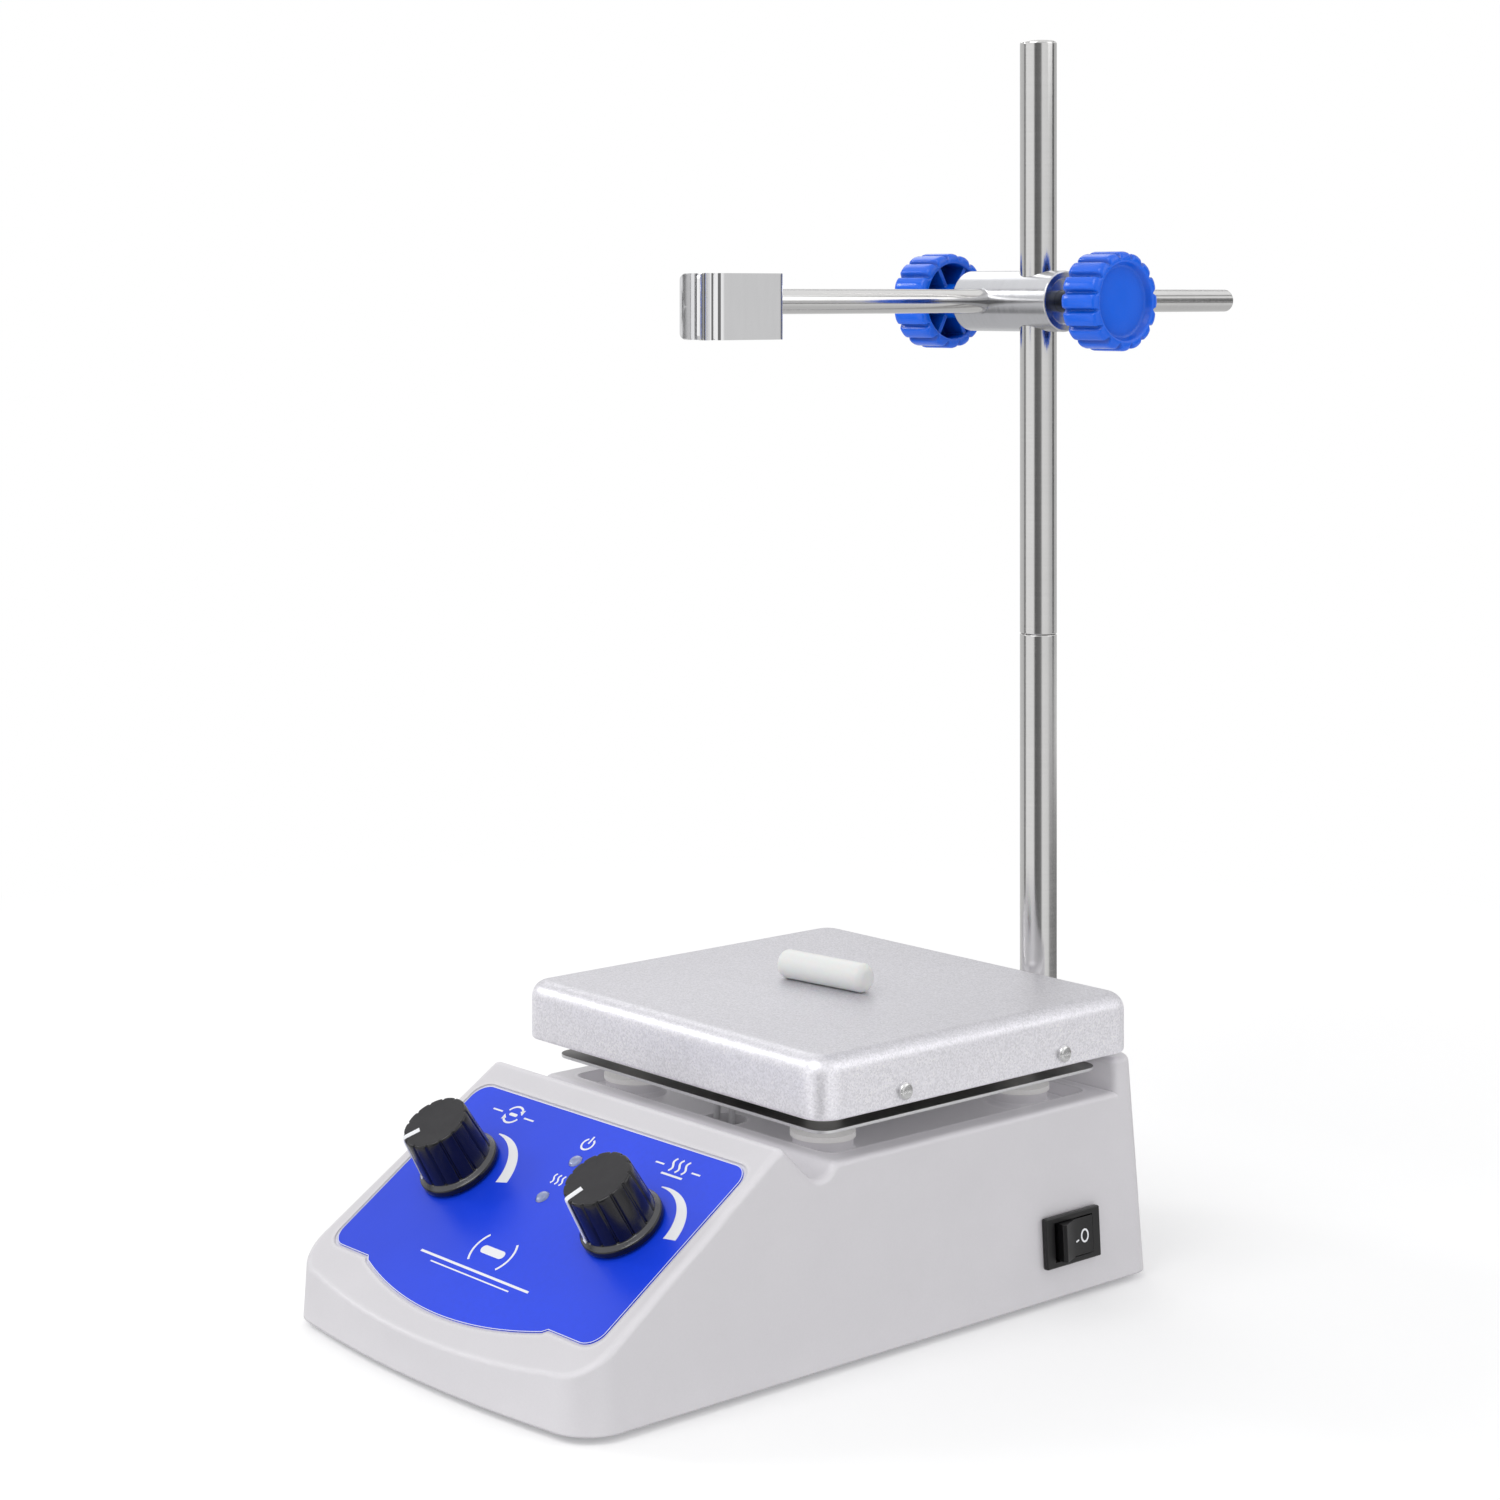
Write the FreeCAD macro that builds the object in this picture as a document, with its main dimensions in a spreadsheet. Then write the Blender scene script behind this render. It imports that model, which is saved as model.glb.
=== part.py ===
import FreeCAD, Part
import math
import os

import Sketcher
from FreeCAD import Placement, Rotation, Vector

# Heating magnetic stirrer with a screw-in support rod, boss head, cross rod and spring clip.
# Millimetres. Origin: stirring axis, on the bench plane under the rubber feet.
# +X is the object's right, -Y is the control panel's side (front), +Z is up.

doc = FreeCAD.newDocument("magnetic_stirrer")

# ------------------------------------------------------------------ driving dimensions
SIZES = {
    # rubber feet
    "foot_height": 2.0, "foot_radius": 6.5, "foot_pegradius": 2.9,
    "foot_spanx": 46.0, "foot_front": 104.0, "foot_rear": 42.0,
    # case in plan, its draft and its wall
    "case_half": 61.0, "case_front": 139.2, "case_nose": 142.9, "case_rear": 67.7,
    "case_cornerfront": 12.0, "case_cornerrear": 8.0, "case_inset": 3.68, "case_loft": 62.0,
    "case_wall": 2.6, "case_post": 4.0, "case_edge": 1.9,
    # case from the side: sloping panel, finger groove, deck and rear hump
    "slope_footy": 160.0, "slope_footz": 1.226, "slope_topy": 71.0, "slope_topz": 58.94,
    "slope_angle": 32.96, "panel_originy": 126.47, "panel_originz": 22.97,
    "groove_starty": 62.3977, "groove_startz": 50.5127, "groove_radius": 6.0,
    "groove_endy": 52.8936,
    "deck_height": 52.0, "deck_recess": 3.5, "deck_recesshalf": 51.5, "deck_bore": 26.0,
    "hump_front": 54.5, "hump_height": 61.0, "boss_radius": 11.0,
    # pillars under the hot plate, base plate
    "pillar_radius": 8.0, "pillar_pitch": 37.5, "pillar_top": 52.2,
    "washer_radius": 8.6, "washer_thick": 1.4, "spacer_radius": 4.6,
    "base_thick": 2.0, "base_gap": 3.2,
    # hot plate and the layers below it
    "plate_side": 120.0, "plate_thick": 16.0, "plate_corner": 7.0, "plate_edge": 4.6,
    "plate_bottom": 63.2, "plate_cavityside": 110.0, "plate_cavitydepth": 10.0,
    "plate_bossradius": 5.5,
    "reflector_side": 107.0, "reflector_thick": 0.8, "reflector_bottom": 57.9,
    "reflector_corner": 5.0, "standoff_radius": 4.6, "standoff_bore": 2.25,
    "clampplate_side": 106.0, "clampplate_thick": 1.2, "clampplate_bottom": 67.0,
    "pad_side": 104.0, "pad_thick": 1.7, "heater_radius": 50.0, "heater_thick": 2.2,
    "sidescrew_pitch": 30.5, "sidescrew_height": 67.0,
    "sidescrew_head": 2.3, "sidescrew_shank": 1.25,
    # control panel
    "label_half": 53.9, "label_top": 57.2, "label_low": 3.8, "label_step": 37.0,
    "label_stepdrop": 5.0, "label_sag": 11.9, "label_corner": 5.0, "label_thick": 0.35,
    "knob_spanx": 34.0, "knob_right": 32.4, "knob_centre": 29.9, "knob_skirt": 11.2,
    "knob_base": 9.95, "knob_top": 9.25, "knob_height": 16.5, "knob_flutes": 20.0,
    "led_radius": 1.9, "led_powerpos": 43.2, "led_heatpos": 30.0,
    "potshaft_radius": 3.0, "potbush_radius": 3.5, "potbody_radius": 8.0,
    # rocker switch
    "switch_width": 21.5, "switch_height": 13.5, "switch_posy": 32.8, "switch_posz": 17.2,
    "rocker_length": 14.4, "rocker_width": 9.8,
    # motor, drive magnets and stir bar
    "motor_radius": 19.0, "motor_bottom": 8.0, "motor_height": 25.0, "motor_shaftradius": 2.0,
    "yoke_radius": 23.0, "yoke_thick": 3.0,
    "magnet_radius": 6.0, "magnet_height": 7.0, "magnet_offset": 15.0,
    "stirbar_radius": 4.0, "stirbar_length": 30.0,
    # support rod, boss head, cross rod and clip
    "rod_x": 18.7, "rod_y": 67.0, "rod_radius": 5.25, "rod_base": 61.3, "rod_seam": 174.0,
    "rod_top": 344.0, "rod_spigot": 4.0, "socket_radius": 7.0,
    "head_height": 269.3, "head_radius": 8.75, "head_left": -7.1, "head_length": 35.9,
    "arm_x": 4.0, "arm_radius": 3.45, "arm_front": -26.8, "arm_length": 196.8,
    "stud_radius": 3.0, "grip_radius": 14.0, "grip_thick": 12.4, "grip_lobes": 16.0,
    "clip_height": 17.8, "clip_drop": 1.3, "clip_thick": 0.8,
    "running_gap": 0.05,
}
FIT = 0.02                  # clearance left between neighbouring pieces

sheet = doc.addObject("Spreadsheet::Sheet", "Sizes")
for row, (alias, size) in enumerate(SIZES.items(), start=1):
    sheet.set("A%d" % row, alias)
    sheet.set("B%d" % row, str(size))
    sheet.setAlias("B%d" % row, alias)
doc.recompute()


def expression(number):
    return number.expression if isinstance(number, Quantity) else "(%.6f)" % number


def joined(value, left, sign, right):
    return Quantity(value, "(%s %s %s)" % (expression(left), sign, expression(right)))


class Quantity:
    """A number from the sheet together with the expression that gives it."""

    def __init__(self, value, text):
        self.value, self.expression = float(value), text

    def __add__(self, other):
        return joined(self.value + float(other), self, "+", other)

    def __radd__(self, other):
        return joined(float(other) + self.value, other, "+", self)

    def __sub__(self, other):
        return joined(self.value - float(other), self, "-", other)

    def __rsub__(self, other):
        return joined(float(other) - self.value, other, "-", self)

    def __mul__(self, other):
        return joined(self.value * float(other), self, "*", other)

    def __rmul__(self, other):
        return joined(float(other) * self.value, other, "*", self)

    def __truediv__(self, other):
        return joined(self.value / float(other), self, "/", other)

    def __neg__(self):
        return Quantity(-self.value, "(0 - %s)" % self.expression)

    def __float__(self):
        return self.value


class Dimensions:
    """dim.alias is the sheet's value of that alias as a Quantity."""

    def __getattr__(self, alias):
        return Quantity(SIZES[alias], "Sizes." + alias)


dim = Dimensions()


# ------------------------------------------------------------------ Part helpers
def bind(obj, prop, value):
    """Set a property, bound to the sheet when the value comes from it."""
    if isinstance(value, Quantity):
        obj.setExpression(prop, value.expression)
    else:
        setattr(obj, prop, value)


def place(obj, pos, turn=None):
    obj.Placement = Placement(Vector(*[float(c) for c in pos]), turn or Rotation())
    for axis, c in zip("xyz", pos):
        if isinstance(c, Quantity):
            obj.setExpression("Placement.Base." + axis, c.expression)
    return obj


def fit(obj, frame, x=0.0, y=0.0, z=0.0, turn=None):
    """Put an object at a place given in the frame's own axes."""
    doc.recompute()
    local = Placement(Vector(float(x), float(y), float(z)), turn or Rotation())
    obj.Placement = frame.multiply(local)
    return obj


AXES = {
    "x": Rotation(Vector(0, 1, 0), 90), "-x": Rotation(Vector(0, 1, 0), -90),
    "y": Rotation(Vector(1, 0, 0), -90), "z": Rotation(),
}
serial = [0]


def unique(kind):
    serial[0] += 1
    return "%s%03d" % (kind, serial[0])


def cylinder(radius, length, pos, axis="z", name=None):
    obj = doc.addObject("Part::Cylinder", name or unique("cyl"))
    bind(obj, "Radius", radius)
    bind(obj, "Height", length)
    return place(obj, pos, AXES[axis])


def cone(low_radius, top_radius, height, pos):
    obj = doc.addObject("Part::Cone", unique("cone"))
    bind(obj, "Radius1", low_radius)
    bind(obj, "Radius2", top_radius)
    bind(obj, "Height", height)
    return place(obj, pos)


def box(size_x, size_y, size_z, corner=(0.0, 0.0, 0.0)):
    obj = doc.addObject("Part::Box", unique("box"))
    bind(obj, "Length", size_x)
    bind(obj, "Width", size_y)
    bind(obj, "Height", size_z)
    return place(obj, corner)


def centred_box(size_x, size_y, size_z, x, y, low_z):
    """Box centred on x and y, standing on low_z."""
    return box(size_x, size_y, size_z, (x - size_x / 2, y - size_y / 2, low_z))


def fuse(parts, name=None):
    obj = doc.addObject("Part::MultiFuse", name or unique("fuse"))
    obj.Shapes = parts
    return obj


def cut(base, tools, name=None):
    obj = doc.addObject("Part::Cut", name or unique("cut"))
    obj.Base = base
    obj.Tool = tools[0] if len(tools) == 1 else fuse(tools, unique("tools"))
    return obj


def group(parts, name):
    """Several separate solids of one kind kept in one node."""
    obj = doc.addObject("Part::Compound", name)
    obj.Links = parts
    return obj


def fillet(base, radius, pick, name=None):
    """Part::Fillet on the edges that pick(edge) selects."""
    doc.recompute()
    edges = [(i, radius, radius) for i, e in enumerate(base.Shape.Edges, start=1) if pick(e)]
    obj = doc.addObject("Part::Fillet", name or unique("fillet"))
    obj.Base = base
    obj.Edges = edges
    return obj


def middle(edge):
    return edge.valueAt((edge.FirstParameter + edge.LastParameter) / 2)


def near(a, b, tolerance=0.05):
    return abs(a - float(b)) < tolerance


# ------------------------------------------------------------------ PartDesign helpers
def body(name):
    return doc.addObject("PartDesign::Body", name)


def origin_feature(solid, role):
    return [x for x in solid.Origin.OriginFeatures if x.Role == role][0]


def sketch(solid, role="XY_Plane", offset=0.0):
    """Sketch on one of the body's planes, moved along the plane's normal by offset."""
    plan = solid.newObject("Sketcher::SketchObject", unique("sketch"))
    plan.AttachmentSupport = [(origin_feature(solid, role), "")]
    plan.MapMode = "FlatFace"
    plan.AttachmentOffset = Placement(Vector(0, 0, float(offset)), Rotation())
    if isinstance(offset, Quantity):
        plan.setExpression("AttachmentOffset.Base.z", offset.expression)
    return plan


def constrain(plan, refs, value):
    """Dimension in a sketch, bound to the sheet when the value comes from it."""
    index = plan.addConstraint(Sketcher.Constraint(*refs, float(value)))
    if isinstance(value, Quantity):
        plan.renameConstraint(index, unique("v"))
        plan.setExpression("Constraints." + plan.Constraints[index].Name, value.expression)


def outline(plan, points):
    """Closed outline. Each entry is (x, y) for a corner joined by a line to the next one, or
    (x, y, radius) when an arc leads to the next one, bulging to the right of the travel."""
    corners = [Vector(float(p[0]), float(p[1]), 0) for p in points]
    geometry = []
    for i, point in enumerate(points):
        start, end = corners[i], corners[(i + 1) % len(points)]
        if len(point) > 2:
            radius = float(point[2])
            chord = end - start
            rise = radius - math.sqrt(max(radius * radius - chord.Length ** 2 / 4, 0))
            right = Vector(chord.y, -chord.x, 0).normalize()
            geometry.append(Part.Arc(start, (start + end) * 0.5 + right * rise, end))
        else:
            geometry.append(Part.LineSegment(start, end))
    ids = plan.addGeometry(geometry, False)
    # an arc runs anticlockwise inside the sketcher, so its ends are matched by position
    ends = []
    for i, corner in zip(ids, corners):
        forward = (plan.Geometry[i].StartPoint - corner).Length < 1e-6
        ends.append((1, 2) if forward else (2, 1))
    joints = []
    for i in range(len(ids)):
        j = (i + 1) % len(ids)
        joints.append(Sketcher.Constraint("Coincident", ids[i], ends[i][1], ids[j], ends[j][0]))
    plan.addConstraint(joints)
    for i, point in enumerate(points):
        constrain(plan, ("DistanceX", -1, 1, ids[i], ends[i][0]), point[0])
        constrain(plan, ("DistanceY", -1, 1, ids[i], ends[i][0]), point[1])
        if len(point) > 2:
            constrain(plan, ("Radius", ids[i]), point[2])
    return plan


def circle(plan, radius, x=0.0, y=0.0):
    shape = Part.Circle(Vector(float(x), float(y), 0), Vector(0, 0, 1), float(radius))
    i = plan.addGeometry(shape, False)
    constrain(plan, ("Radius", i), radius)
    constrain(plan, ("DistanceX", -1, 1, i, 3), x)
    constrain(plan, ("DistanceY", -1, 1, i, 3), y)
    return plan


def round_rect(half_x, half_y, radius, x=0.0, y=0.0):
    """Rounded rectangle for outline(), centred on x and y."""
    left, right, front, rear = x - half_x, x + half_x, y - half_y, y + half_y
    return [
        (left + radius, front), (right - radius, front, radius),
        (right, front + radius), (right, rear - radius, radius),
        (right - radius, rear), (left + radius, rear, radius),
        (left, rear - radius), (left, front + radius, radius),
    ]


def pad(solid, plan, length, mid=False):
    feature = solid.newObject("PartDesign::Pad", unique("pad"))
    feature.Profile = plan
    bind(feature, "Length", length)
    feature.Midplane = mid
    return feature


def pocket(solid, plan, length=None, reverse=False, mid=False):
    """Pocket of a given length, or through everything."""
    doc.recompute()
    before = solid.Shape.Volume
    feature = solid.newObject("PartDesign::Pocket", unique("pocket"))
    feature.Profile = plan
    if length is None:
        feature.Type = 1
    else:
        bind(feature, "Length", length)
    feature.Reversed = reverse
    feature.Midplane = mid
    doc.recompute()
    if not solid.Shape.Volume < before - 1e-3:
        raise RuntimeError("a pocket removed nothing in " + solid.Name)
    return feature


def polar(solid, feature, number):
    """Repeat a feature round the body's Z axis."""
    pattern = solid.newObject("PartDesign::PolarPattern", unique("polar"))
    pattern.Originals = [feature]
    pattern.Axis = (origin_feature(solid, "Z_Axis"), [""])
    pattern.Angle = 360
    bind(pattern, "Occurrences", number)
    solid.Tip = pattern


def soften(solid, radius, pick):
    """PartDesign fillet on the edges of the body's tip that pick(edge) selects."""
    doc.recompute()
    tip = solid.Tip
    names = ["Edge%d" % i for i, e in enumerate(tip.Shape.Edges, start=1) if pick(e)]
    feature = solid.newObject("PartDesign::Fillet", unique("fillet"))
    feature.Base = (tip, names)
    bind(feature, "Radius", radius)


def turned(name, profile):
    """Body turned round its Z axis from (radius, height) points."""
    solid = body(name)
    plan = outline(sketch(solid, "XZ_Plane"), profile)
    feature = solid.newObject("PartDesign::Revolution", unique("rev"))
    feature.Profile = plan
    feature.ReferenceAxis = (plan, ["V_Axis"])
    feature.Angle = 360
    return solid


def slab(name, points, low, thick):
    """Flat body of a given outline, standing on low."""
    solid = body(name)
    pad(solid, outline(sketch(solid, offset=low), points), thick)
    return solid


def pierce(solid, low, circles=(), rects=(), depth=None):
    """Cut upward from low: circles as (radius, x, y), rects as round_rect() arguments."""
    plan = sketch(solid, offset=low)
    for values in circles:
        circle(plan, *values)
    for values in rects:
        outline(plan, round_rect(*values))
    pocket(solid, plan, depth, reverse=True)


def slotted_screw(x, y, face, head_height, shank_low, shank_length):
    """Screw pointing down, its head resting on a face."""
    whole = fuse([cylinder(2.6, head_height, (x, y, face + FIT)),
                  cylinder(1.25, shank_length, (x, y, shank_low))])
    return cut(whole, [centred_box(4.0, 0.6, 0.8, x, y, face + head_height - 0.6)])


# ------------------------------------------------------------------ shared levels and places
base_low = dim.foot_height + 0.5
base_top = base_low + dim.base_thick
deck_floor = dim.deck_height - dim.deck_recess
washer_top = dim.pillar_top + dim.washer_thick
reflector_top = dim.reflector_bottom + dim.reflector_thick
clamp_top = dim.clampplate_bottom + dim.clampplate_thick
cavity_top = dim.plate_bottom + dim.plate_cavitydepth
plate_top = dim.plate_bottom + dim.plate_thick
plate_half = dim.plate_side / 2
motor_top = dim.motor_bottom + dim.motor_height

CORNERS = [(1, -1), (1, 1), (-1, 1), (-1, -1)]
MOUNTS = [(dim.pillar_pitch * sx, dim.pillar_pitch * sy) for sx, sy in CORNERS]
FEET = [
    (dim.foot_spanx, -dim.foot_front), (dim.foot_spanx, dim.foot_rear),
    (-dim.foot_spanx, dim.foot_rear), (-dim.foot_spanx, -dim.foot_front),
]
# case screw posts: x, y, top
POSTS = [(-50.0, -118.0, 25.2), (50.0, -118.0, 25.2), (-50.0, 52.0, 47.0), (50.0, 52.0, 47.0)]
WIRE_Y = -38.0              # the heater wires rise here, on the centre line
THERMOSTAT_AT = (-24.0, -8.0)

# The control panel slopes up to the rear. Its frame has x across, y up the slope and z out of
# the panel; its origin is on the centre line, near the label's lower edge.
slope = math.radians(float(dim.slope_angle))
PANEL = Placement(Vector(0, float(-dim.panel_originy), float(dim.panel_originz)),
                  Rotation(Vector(1, 0, 0), float(dim.slope_angle)))
SPEED_POT = (-dim.knob_spanx, dim.knob_centre)      # x, distance up the slope
HEAT_POT = (dim.knob_right, dim.knob_centre)
POWER_LED = (0.0, dim.led_powerpos)
HEAT_LED = (0.0, dim.led_heatpos)
POTS = [SPEED_POT, HEAT_POT]
LEDS = [POWER_LED, HEAT_LED]

# The side and rear walls lean inward with the case's draft. The switch's frame has x out of
# the right wall and z up it; the inlet's frame has y out of the rear wall and z up it.
INLET_X, INLET_Z = -22.0, 24.0
lean = math.degrees(math.atan2(float(dim.case_inset), float(dim.case_loft)))


def draft_at(z):
    return (z - dim.foot_height) * dim.case_inset / dim.case_loft


WALL = Placement(
    Vector(float(dim.case_half - draft_at(dim.switch_posz)), float(dim.switch_posy),
           float(dim.switch_posz)),
    Rotation(Vector(0, 1, 0), -lean))
REAR = Placement(Vector(INLET_X, float(dim.case_rear - draft_at(INLET_Z)), INLET_Z),
                 Rotation(Vector(1, 0, 0), lean))


def wall_box(inner, outer, width, height, y=0.0):
    """Box on the side wall, between two distances out of it, centred on the switch."""
    obj = box(outer - inner, width, height)
    return fit(obj, WALL, inner, y - float(width) / 2, -float(height) / 2)


def rear_box(width, height, inner, outer, x=0.0, z=0.0):
    """Box on the rear wall, between two distances out of it, centred on the inlet."""
    obj = box(width, outer - inner, height)
    return fit(obj, REAR, x - width / 2, inner, z - height / 2)


# ------------------------------------------------------------------ housing
def bowed_plan(front, rise, front_corner, rear, rear_corner):
    """Plan with a bowed front edge that rises forward of front, and rounded corners."""
    flat = dim.case_half - dim.case_cornerfront
    half = flat + front_corner
    bow = (flat * flat + rise * rise) / (2 * rise)
    return [
        (-flat, front, bow), (flat, front, front_corner), (half, front + front_corner),
        (half, rear - rear_corner, rear_corner), (half - rear_corner, rear),
        (rear_corner - half, rear, rear_corner), (-half, rear - rear_corner),
        (-half, front + front_corner, front_corner),
    ]


def case_plan(inward, nose_in):
    """Plan outline of the case at one height, moved in at the sides and at the nose."""
    front = -(dim.case_front - inward)
    nose = -(dim.case_nose - nose_in)
    return bowed_plan(front, front - nose, dim.case_cornerfront - inward,
                      dim.case_rear - inward, dim.case_cornerrear - inward * 0.5)


def case_form(name, wall, space_above):
    """Drafted loft of the case, thinned by wall, with the space above its profile removed."""
    form = body(name)
    low = outline(sketch(form, offset=dim.foot_height), case_plan(wall, wall))
    high = outline(sketch(form, offset=dim.foot_height + dim.case_loft),
                   case_plan(dim.case_inset + wall, wall))
    loft = form.newObject("PartDesign::AdditiveLoft", unique("loft"))
    loft.Profile = low
    loft.Sections = [high]
    loft.Ruled = True
    pocket(form, outline(sketch(form, "YZ_Plane"), space_above), mid=True)
    return form


def upper_space(hump_height):
    """The last points shared by both side profiles: over the hump and back to the front."""
    ceiling = dim.hump_height + 30
    return [(dim.case_rear + 20, hump_height), (dim.case_rear + 20, ceiling),
            (-dim.slope_footy, ceiling)]


def outer_space():
    """Above slope, ridge, finger groove, deck and hump, as (y, z)."""
    return [
        (-dim.slope_footy, dim.slope_footz), (-dim.slope_topy, dim.slope_topz),
        (-dim.groove_starty, dim.groove_startz, dim.groove_radius),
        (-dim.groove_endy, dim.deck_height), (dim.hump_front, dim.deck_height),
        (dim.hump_front, dim.hump_height),
    ] + upper_space(dim.hump_height)


def inner_space():
    """Above the hollow, one wall below the slope, the deck's recess and the hump."""
    wall = dim.case_wall
    foot_z = dim.slope_footz - wall / math.cos(slope)
    floor = deck_floor - wall
    step_y = dim.hump_front + wall
    return [
        (-dim.slope_footy, foot_z),
        ((floor - foot_z) / math.tan(slope) - dim.slope_footy, floor),
        (step_y, floor), (step_y, dim.hump_height - wall),
    ] + upper_space(dim.hump_height - wall)


def soft_edge(edge):
    """Upper edges of the case that have a soft radius."""
    bounds, mid = edge.BoundBox, middle(edge)
    if bounds.ZMax < 5 or edge.Length < 0.6:
        return False
    at_side = abs(mid.x) > 50
    slope_z = dim.slope_footz + (mid.y + dim.slope_footy) * math.tan(slope)
    on_slope = near(mid.z, slope_z, 0.25) and mid.y < -70.0
    if on_slope and (mid.y < -125 or (at_side and bounds.YLength > 30)):
        return True                                  # front wall's top edge, slope's long edges
    if near(mid.y, -dim.slope_topy) and near(mid.z, dim.slope_topz):
        return True                                  # ridge
    if at_side and -71.0 < mid.y < -52.0 and mid.z > 45:
        return True                                  # the finger groove's open ends
    if near(mid.z, dim.deck_height, 0.1) and (at_side or mid.y < -50):
        return True                                  # deck sides and the groove's rear lip
    if near(mid.z, dim.hump_height, 0.1):
        return True                                  # rear hump
    return at_side and near(mid.y, dim.hump_front)


def label_points(grow):
    """The label's outline in the panel's frame, with a bowed step in its lower edge."""
    half, top, low = dim.label_half + grow, dim.label_top + grow, -(dim.label_low + grow)
    step, drop = dim.label_step + grow * 0.4, dim.label_stepdrop + grow
    corner = dim.label_corner
    rise = dim.label_sag + grow - drop
    bow = (step * step + rise * rise) / (2 * rise)
    return [
        (-half + corner, low), (-step, low), (-step + 1.2, -drop, bow), (step - 1.2, -drop),
        (step, low), (half - corner, low, corner), (half, low + corner),
        (half, top - corner, corner), (half - corner, top), (-half + corner, top, corner),
        (-half, top - corner), (-half, low + corner, corner),
    ]


def panel_hole(radius, at):
    return fit(cylinder(radius, 12.0, (0.0, 0.0, 0.0)), PANEL, at[0], at[1], -8.0)


def housing():
    case = case_form("case_form", 0.0, outer_space())
    soften(case, dim.case_edge, soft_edge)
    hollow = case_form("case_hollow", dim.case_wall, inner_space())
    recess = slab("deck_recess_form",
                  round_rect(dim.deck_recesshalf, dim.deck_recesshalf - 2.0, 4.0, 0.0, 1.0),
                  deck_floor, 20.0)
    seat = slab("label_seat_form", label_points(0.7), 0.0, 6.0)
    fit(seat, PANEL, z=-dim.label_thick)

    # boss for the support rod: a full column outside, and its part inside the hollow
    boss_at = (dim.rod_x, dim.rod_y, dim.foot_height)
    boss = fillet(cylinder(dim.boss_radius, dim.hump_height - dim.foot_height, boss_at), 1.6,
                  lambda e: near(middle(e).z, dim.hump_height) and e.Length > 20)
    inner_boss = cut(cylinder(dim.boss_radius, 58.0, boss_at),
                     [centred_box(60.0, 60.0, 26.0, dim.rod_x, dim.rod_y, 0.0)])

    pillars = [cylinder(dim.pillar_radius, dim.pillar_top - deck_floor, (x, y, deck_floor))
               for x, y in MOUNTS]
    skirts = [cone(dim.pillar_radius + 1.0, dim.pillar_radius, 1.2, (x, y, deck_floor))
              for x, y in MOUNTS]
    post_low = base_top + 0.1
    posts = [cylinder(dim.case_post, top - post_low, (x, y, post_low)) for x, y, top in POSTS]

    openings = [
        cylinder(dim.deck_bore, 20.0, (0.0, 0.0, 40.0)),
        cylinder(6.0, 20.0, (0.0, WIRE_Y, 40.0)),
        cylinder(dim.socket_radius + FIT, 33.0, (dim.rod_x, dim.rod_y, 28.6)),
        wall_box(-8.0, 4.0, 19.4, 12.8),
        rear_box(27.8, 20.2, -8.0, 4.0),
        seat,
    ]
    openings += [cylinder(2.2, 20.0, (x, y, 40.0)) for x, y in MOUNTS]
    openings += [cylinder(4.4, 4.0, (x, y, 43.4)) for x, y in MOUNTS]
    openings += [panel_hole(dim.potbush_radius + 0.1, at) for at in POTS]
    openings += [panel_hole(dim.led_radius + 0.1, at) for at in LEDS]
    openings += [cylinder(1.25, 10.0, (x, y, 4.0)) for x, y, top in POSTS]
    # four upright slots through the rear wall
    openings += [box(2.2, 12.0, 16.0, (33.0 + 5.0 * k, dim.case_rear - 7.0, 16.0))
                 for k in range(4)]

    plain = cut(fuse([case, boss]), [hollow, recess])
    full = fuse([plain] + pillars + skirts + posts + [inner_boss])
    return cut(full, openings, "housing")


# ------------------------------------------------------------------ base
def base_plate():
    plate = body("base")
    plan = bowed_plan(-(dim.case_front - dim.base_gap), dim.case_nose - dim.case_front, 8.0,
                      dim.case_rear - dim.base_gap, 5.0)
    pad(plate, outline(sketch(plate, offset=base_low), plan), dim.base_thick)
    holes = [(dim.foot_pegradius + 0.1, x, y) for x, y in FEET]
    holes += [(1.7, x, y) for x, y, top in POSTS]
    pierce(plate, base_low, holes)
    pierce(plate, base_low, rects=[(12.0, 1.25, 1.2, 0.0, -70.0 + 6.0 * k) for k in range(6)])
    return plate


def base_screws():
    """Cross-slotted screws pointing up into the posts."""
    screws = []
    for x, y, top in POSTS:
        whole = fuse([cylinder(2.7, 1.4, (x, y, base_low - 1.4)),
                      cylinder(1.2, 9.6, (x, y, base_low - 0.2))])
        cross = [centred_box(0.7, 3.6, 0.8, x, y, base_low - 1.6),
                 centred_box(3.6, 0.7, 0.8, x, y, base_low - 1.6)]
        screws.append(cut(whole, cross))
    return group(screws, "base_screw_set")


def rubber_feet():
    """Each foot has a peg through the base plate and a tapered cap that holds it."""
    feet = []
    peg = dim.foot_pegradius
    for x, y in FEET:
        foot = cone(dim.foot_radius - 0.8, dim.foot_radius, dim.foot_height + 0.45, (x, y, 0.0))
        feet.append(fuse([
            fillet(foot, 0.6, lambda e: e.Length > 20),
            cylinder(peg, 3.0, (x, y, dim.foot_height + 0.2)),
            cone(peg + 0.9, peg - 0.9, 2.0, (x, y, dim.foot_height + 2.6)),
        ]))
    return group(feet, "feet_set")


# ------------------------------------------------------------------ control panel
def panel_overlay():
    label = slab("label", label_points(0.0), 0.0, dim.label_thick)
    holes = [(dim.potbush_radius + 0.15, x, up) for x, up in POTS]
    holes += [(dim.led_radius + 0.1, x, up) for x, up in LEDS]
    pierce(label, 0.0, holes)
    return fit(label, PANEL, z=-dim.label_thick + FIT)


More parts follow.
